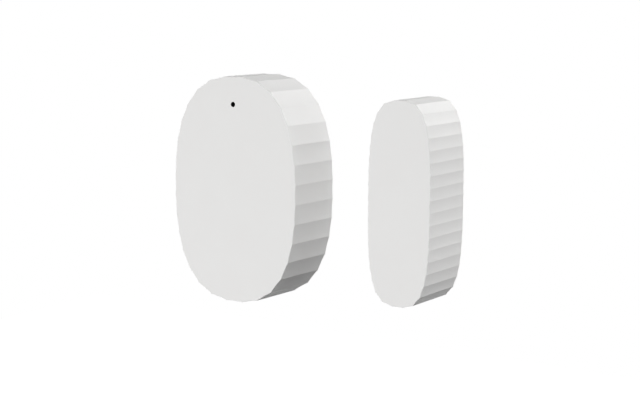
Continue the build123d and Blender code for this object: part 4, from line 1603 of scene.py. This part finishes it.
@dataclass
class BoardArt:
    """The circuit board with what is printed and plated on it: tracks, pads, plated holes and outlines."""

    node: str = "circuit_board"
    edge: float = 0.03
    copper: float = 0.03
    ink: float = 0.022
    ink_width: float = 0.15
    track_width: float = 0.35
    tracks: tuple[tuple[Pair, ...], ...] = (
        ((3.9, 28.65), (5.2, 28.65), (6.9, 27.3)),
        ((3.9, 24.15), (4.4, 24.6), (4.6, 25.45)),
        ((9.2, 25.45), (9.2, 24.2), (10.2, 23.2), (15.2, 23.2), (17.2, 21.2), (17.2, 15.9), (15.74, 14.9)),
        ((-3.9, 24.15), (-4.7, 24.15), (-5.3, 24.75)),
        ((-9.0, 25.4), (-11.4, 25.4), (-17.0, 19.8), (-17.0, 15.9)),
        ((-3.9, 28.65), (-7.4, 28.65), (-9.4, 26.7)),
        ((15.74, -9.4), (15.74, -11.2), (14.9, -12.1)),
        ((13.35, 4.4), (13.35, 7.0), (15.74, 9.4)),
        ((13.35, -4.4), (13.35, -6.6), (12.2, -7.8)),
        ((16.69, 12.2), (17.9, 11.0), (17.9, -11.0), (15.9, -13.0)),
        ((14.79, 12.2), (13.6, 11.0), (12.2, 11.0)),
        ((-14.85, -11.3), (-14.85, -9.2)),
        ((-14.85, -17.5), (-12.6, -18.6), (-11.0, -18.6)),
        ((-17.0, 8.7), (-17.0, 6.8)),
        ((-14.4, 8.7), (-14.4, 7.9), (-12.0, 7.9)),
    )
    # Width and height of the pads, then their places
    pads: tuple[tuple[Pair, tuple[Pair, ...]], ...] = (
        ((1.3, 1.1), ((-3.95, 24.15), (3.95, 24.15), (-3.95, 28.65), (3.95, 28.65))),
        ((0.9, 2.2), ((-8.9, 25.4), (-5.5, 25.4))),
        ((0.9, 0.9), ((4.6, 25.4), (6.9, 25.4), (9.2, 25.4), (4.6, 27.4), (6.9, 27.4), (9.2, 27.4))),
        ((0.8, 0.9), ((15.74, 14.75), (14.79, 12.25), (16.69, 12.25))),
        ((0.8, 0.9), ((-17.0, 15.75), (-14.4, 15.75), (-17.0, 8.85), (-14.4, 8.85))),
        ((1.1, 1.1), ((-14.85, -11.45), (-14.85, -17.35))),
        ((1.1, 0.8), ((13.9, -12.5), (15.3, -12.5), (13.9, -16.1), (15.3, -16.1))),
        ((0.9, 0.9), ((13.35, -4.45), (13.35, 4.45))),
        ((0.9, 1.3), ((13.35, -2.3), (13.35, 0.0), (13.35, 2.3))),
    )
    pad_rounding: float = 0.45
    pad_angle: float = 80.0
    # Radius and height of each corner of a solder joint's half section
    cone: tuple[Pair, ...] = ((0.33, 0.0), (0.8, 0.0), (0.64, 0.12), (0.429, 0.5), (0.33, 0.5))
    cone_sides: int = 32
    joints: tuple[Pair, ...] = ((15.74, -9.4), (15.74, 9.4))
    via_bore: float = 0.1485
    via_radius: float = 0.36
    via_sides: int = 20
    vias: tuple[Pair, ...] = (
        (-9.4, 26.7), (-4.9, 30.2), (4.9, 30.2), (0.0, 30.4), (12.6, 24.4), (17.9, 3.0),
        (17.9, -3.0), (-17.6, 17.6), (-14.2, -19.0), (17.4, -14.6), (16.4, -17.6), (12.9, -10.4),
    )
    # Middle, width and height of each printed frame
    frames: tuple[tuple[float, float, float, float], ...] = (
        (6.9, 26.4, 6.9, 3.6),
        (13.35, 0.0, 1.5, 10.4),
        (14.6, -14.3, 3.3, 5.0),
    )

    def build(self) -> None:
        """Dresses the board and lays everything on its front."""
        low, high = box_mm(self.node)
        board = Piece.of_solid(self.node).soften(self.edge)
        board.place(GREEN_BOARD, "wall_base", "board", self.node, also=((SAWN_EPOXY, is_side),))
        front = high.y
        self.lines("tracks", self.tracks, self.track_width, (front, front + self.copper / 2), GREEN_TRACK)
        self.solder_pads(front)
        self.plated_holes(low.y, front)
        bars = []
        for x, z, wide, tall in self.frames:
            (left, right), (bottom, top) = around(x, wide), around(z, tall)
            bars += [((left, bottom), (right, bottom)), ((left, bottom), (left, top))]
            bars += [((left, top), (right, top)), ((right, bottom), (right, top))]
        self.lines("outlines", bars, self.ink_width, (front, front + self.ink), WHITE_INK)

    def lines(
        self, name: str, paths: Sequence[Sequence[Pair]], width: float, depth: Pair, finish: Finish
    ) -> None:
        """Lays bands of one width and finish on the board.

        Args:
            name: The piece's name.
            paths: Each band's middle line as X and Z in millimetres.
            width: The bands' width.
            depth: Their back, on the board, and their front.
            finish: Their surface.
        """
        first, *more = (Piece.plate(name, strip(path, width), *depth) for path in paths)
        first.join(more).place(finish, "wall_base", "board")

    def solder_pads(self, front: float) -> None:
        """Lays the pads, barely rounded, on the board.

        Args:
            front: Depth of the board's front in millimetres.
        """
        depth = (front, front + self.copper)
        first, *more = (
            Piece.block("solder_pads", around(x, wide), depth, around(z, tall))
            for (wide, tall), places in self.pads
            for x, z in places
        )
        first.join(more).soften(self.copper * self.pad_rounding, 2, self.pad_angle)
        first.place(SOLDER, "wall_base", "board")

    def plated_holes(self, back: float, front: float) -> None:
        """Cones of solder round the reed switch's leads, on both faces, and small plated holes.

        Args:
            back: Depth of the board's back in millimetres.
            front: Depth of its front.
        """
        x, z = self.joints[0]
        joint, under = (
            Piece.turned("lead_joints", self.cone, Vector((x, depth, z)), way, self.cone_sides)
            for depth, way in ((front, OUT), (back, -OUT))
        )
        joint.join([under]).repeat(self.joints).place(SOLDER, "wall_base", "lead_metal")
        x, z = self.vias[0]
        bore, outside, height = self.via_bore, self.via_radius, self.copper
        rim = [(bore, 0.0), (outside, 0.0), (outside, height), (bore, height)]
        via = Piece.turned("plated_holes", rim, Vector((x, front, z)), sides=self.via_sides)
        via.repeat(self.vias).place(GOLD_PAD, "wall_base", "board")


@dataclass
class SwitchRivets:
    """The four moulded studs that hold the pairing switch's metal frame down."""

    node: str = "pairing_switch_frame"
    inset: float = 0.65
    radius: float = 0.42
    height: float = 0.22
    steps: int = 5
    sides: int = 24

    def build(self) -> None:
        """Turns one domed stud and copies it to the frame's corners."""
        low, high = box_mm(self.node)
        inset, radius, height = self.inset, self.radius, self.height
        columns, rows = (low.x + inset, high.x - inset), (low.z + inset, high.z - inset)
        profile = [(0.0, -height), *((radius * c, height * s) for c, s in quarter(self.steps))]
        places = [(x, z) for x in columns for z in rows]
        foot = Vector((columns[0], high.y, rows[0]))
        studs = Piece.turned("switch_rivets", profile, foot, sides=self.sides).repeat(places)
        studs.place(BLACK_NYLON, "wall_base", "switch_plastic")


INSIDE = (
    BoardArt(),
    CrossScrews("tray_screws", "wall_base"),
    CrossScrews("clamp_screws", "magnet_unit"),
    DryCell("battery_cell_left", True),
    DryCell("battery_cell_right", False),
    StorageCapacitor(),
    RadioModule(),
    Chips("chip_resistors", BLACK_EPOXY, WHITE_ALUMINA, "chip_plastic", 4, True),
    Chips("chip_capacitors", TAN_CERAMIC, TAN_CERAMIC, "chip_ceramic", 3, False),
    GullLegs("regulator_legs", "regulator", 0.55, (0.0,), (-0.95, 0.95)),
    GullLegs("tamper_legs", "tamper_switch_body", 0.9, (-1.3, 1.3), (-1.3, 1.3), width=0.5, thickness=0.18),
    ReedGlass(),
    SwitchRivets(),
)


# The studio


@dataclass(frozen=True)
class PhotoCamera:
    """The camera that took the photograph, worked out from the two units' outlines in it."""

    place: tuple[float, float, float] = (219.3, -314.32, 46.83)
    yaw_degrees: float = 32.62
    pitch_degrees: float = 7.76
    roll_degrees: float = 0.26
    focal_pixels: float = 1193.8
    image_width: float = 640.0
    sensor_mm: float = 36.0
    near_clip: float = 0.01

    def build(self) -> None:
        """Adds the camera and makes it the scene's own."""
        yaw, pitch = math.radians(self.yaw_degrees), math.radians(self.pitch_degrees)
        right = Vector((math.cos(yaw), math.sin(yaw), 0))
        ahead = UP.cross(right) * math.cos(pitch) - UP * math.sin(pitch)
        level = Matrix((right, right.cross(ahead), -ahead)).transposed()
        roll = Matrix.Rotation(math.radians(self.roll_degrees), 3, "Z")
        deselect_all()
        bpy.ops.object.camera_add(location=Vector(self.place) * MM)
        camera = bpy.context.active_object
        camera.name = "photo_camera"
        camera.rotation_euler = (level @ roll).to_euler()
        camera.data.sensor_width = self.sensor_mm
        camera.data.lens = self.focal_pixels / self.image_width * self.sensor_mm
        camera.data.clip_start = self.near_clip
        bpy.context.scene.camera = camera


@dataclass(frozen=True)
class Softbox:
    """A square soft light that looks at the middle of the object.

    Azimuth 0 stands in front of the face and 90 on the +X side. Power is in watts and the rest in metres.
    """

    name: str
    azimuth: float
    elevation: float
    power: float
    size: float = 0.5
    distance: float = 1.0

    def build(self, target: Vector) -> None:
        """Hangs the light.

        Args:
            target: The point it looks at.
        """
        turn, rise = math.radians(self.azimuth), math.radians(self.elevation)
        away = Vector((math.sin(turn) * math.cos(rise), -math.cos(turn) * math.cos(rise), math.sin(rise)))
        deselect_all()
        bpy.ops.object.light_add(type="AREA", location=target + away * self.distance)
        light = bpy.context.active_object
        light.name = self.name
        light.rotation_euler = away.to_track_quat("Z", "Y").to_euler()
        light.data.shape = "SQUARE"
        light.data.size = self.size
        light.data.energy = self.power


@dataclass(frozen=True)
class Studio:
    """A plain pale floor, a white surround and soft light from the upper right."""

    floor_drop: float = 0.45
    floor_size: float = 3.0
    floor_colour: str = "#EDEDED"
    dark_colour: str = "#4A4A4A"
    white: str = "#FFFFFF"
    ambient: float = 0.03
    near_glow: float = 0.5
    far_glow: float = 1.0
    near: float = 0.15
    far: float = 0.5
    lights: tuple[Softbox, ...] = (
        Softbox("front_softbox", -20, -8, 10.1, size=0.6, distance=1.2),
        Softbox("key_softbox", 40, 32, 17.0, size=1.25, distance=2.5),
        Softbox("upper_side_softbox", 65, 40, 1.0),
        Softbox("side_softbox", 90, 12, 1.75),
        Softbox("low_side_softbox", 115, 20, 0.28),
        Softbox("upper_rear_softbox", 125, 45, 1.6),
        Softbox("rear_right_softbox", 140, 32, 4.2),
        Softbox("rear_left_softbox", 235, -12, 2.4),
    )

    def seen(self, tree: bpy.types.NodeTree) -> bpy.types.Node:
        """One where the camera, a mirror or glass looks at a surface, and zero where light bounces off it.

        Args:
            tree: The nodes that take it.

        Returns:
            The node whose output it is.
        """
        path = add_node(tree, "ShaderNodeLightPath")
        seen = path.outputs["Is Camera Ray"]
        for ray in ("Is Glossy Ray", "Is Transmission Ray"):
            seen = add_node(tree, "ShaderNodeMath", {0: seen, 1: path.outputs[ray]}, operation="MAXIMUM")
        return seen

    def surround(self) -> None:
        """A white surround that itself gives only a little light."""
        world = bpy.data.worlds.new("white surround")
        world.use_nodes = True
        bpy.context.scene.world = world
        tree = world.node_tree
        strength = add_node(tree, "ShaderNodeMapRange", {"Value": self.seen(tree), "To Min": self.ambient})
        feed(tree, tree.nodes["Background"], {"Color": linear(self.white), "Strength": strength})

    def floor(self, centre: Vector) -> None:
        """The floor below the object: white to the eye, dark to bounced light, open from below.

        Args:
            centre: The point on the floor under the object's middle.
        """
        deselect_all()
        bpy.ops.mesh.primitive_plane_add(size=self.floor_size, location=centre)
        plane = Piece("floor").object
        surface = bpy.data.materials.new("studio floor, matt painted")
        surface.use_nodes = True
        tree = surface.node_tree
        tree.nodes.clear()
        seen = self.seen(tree)
        tones = {"Factor": seen, MIX_A: linear(self.dark_colour), MIX_B: linear(self.floor_colour)}
        paint = add_node(tree, "ShaderNodeMix", tones, data_type="RGBA")
        matt = add_node(tree, "ShaderNodeBsdfDiffuse", {"Color": paint})
        place = add_node(tree, "ShaderNodeTexCoord").outputs["Object"]
        offset = add_node(tree, "ShaderNodeVectorMath", {0: place, 1: tuple(centre)}, operation="DISTANCE")
        fade = {
            "Value": offset,
            "From Min": self.near,
            "From Max": self.far,
            "To Min": self.near_glow,
            "To Max": self.far_glow,
        }
        glow = add_node(tree, "ShaderNodeMapRange", fade)
        shown = add_node(tree, "ShaderNodeMath", {0: glow, 1: seen}, operation="MULTIPLY")
        light = add_node(tree, "ShaderNodeEmission", {"Color": linear(self.white), "Strength": shown})
        lit = add_node(tree, "ShaderNodeAddShader", {0: matt, 1: light})
        below = add_node(tree, "ShaderNodeNewGeometry").outputs["Backfacing"]
        clear = add_node(tree, "ShaderNodeBsdfTransparent")
        top_only = add_node(tree, "ShaderNodeMixShader", {0: below, 1: lit, 2: clear})
        add_node(tree, "ShaderNodeOutputMaterial", {"Surface": top_only})
        plane.data.materials.append(surface)

    def build(self) -> None:
        """Sets up the surround, the floor, the lights and the plain view settings."""
        low, high = CAD_BOX
        middle = (low + high) / 2
        self.surround()
        self.floor(Vector((middle.x, middle.y, low.z - self.floor_drop)))
        for light in self.lights:
            light.build(middle)
        bpy.context.scene.view_settings.view_transform = "Standard"


def main() -> None:
    """Builds the camera, the studio and every piece of the object, in order."""
    logging.basicConfig(level=logging.INFO, format="%(message)s")
    PhotoCamera().build()
    Studio().build()
    for piece in COVERS + SOFTENED + INSIDE:
        piece.build()


if __name__ == "__main__":
    main()
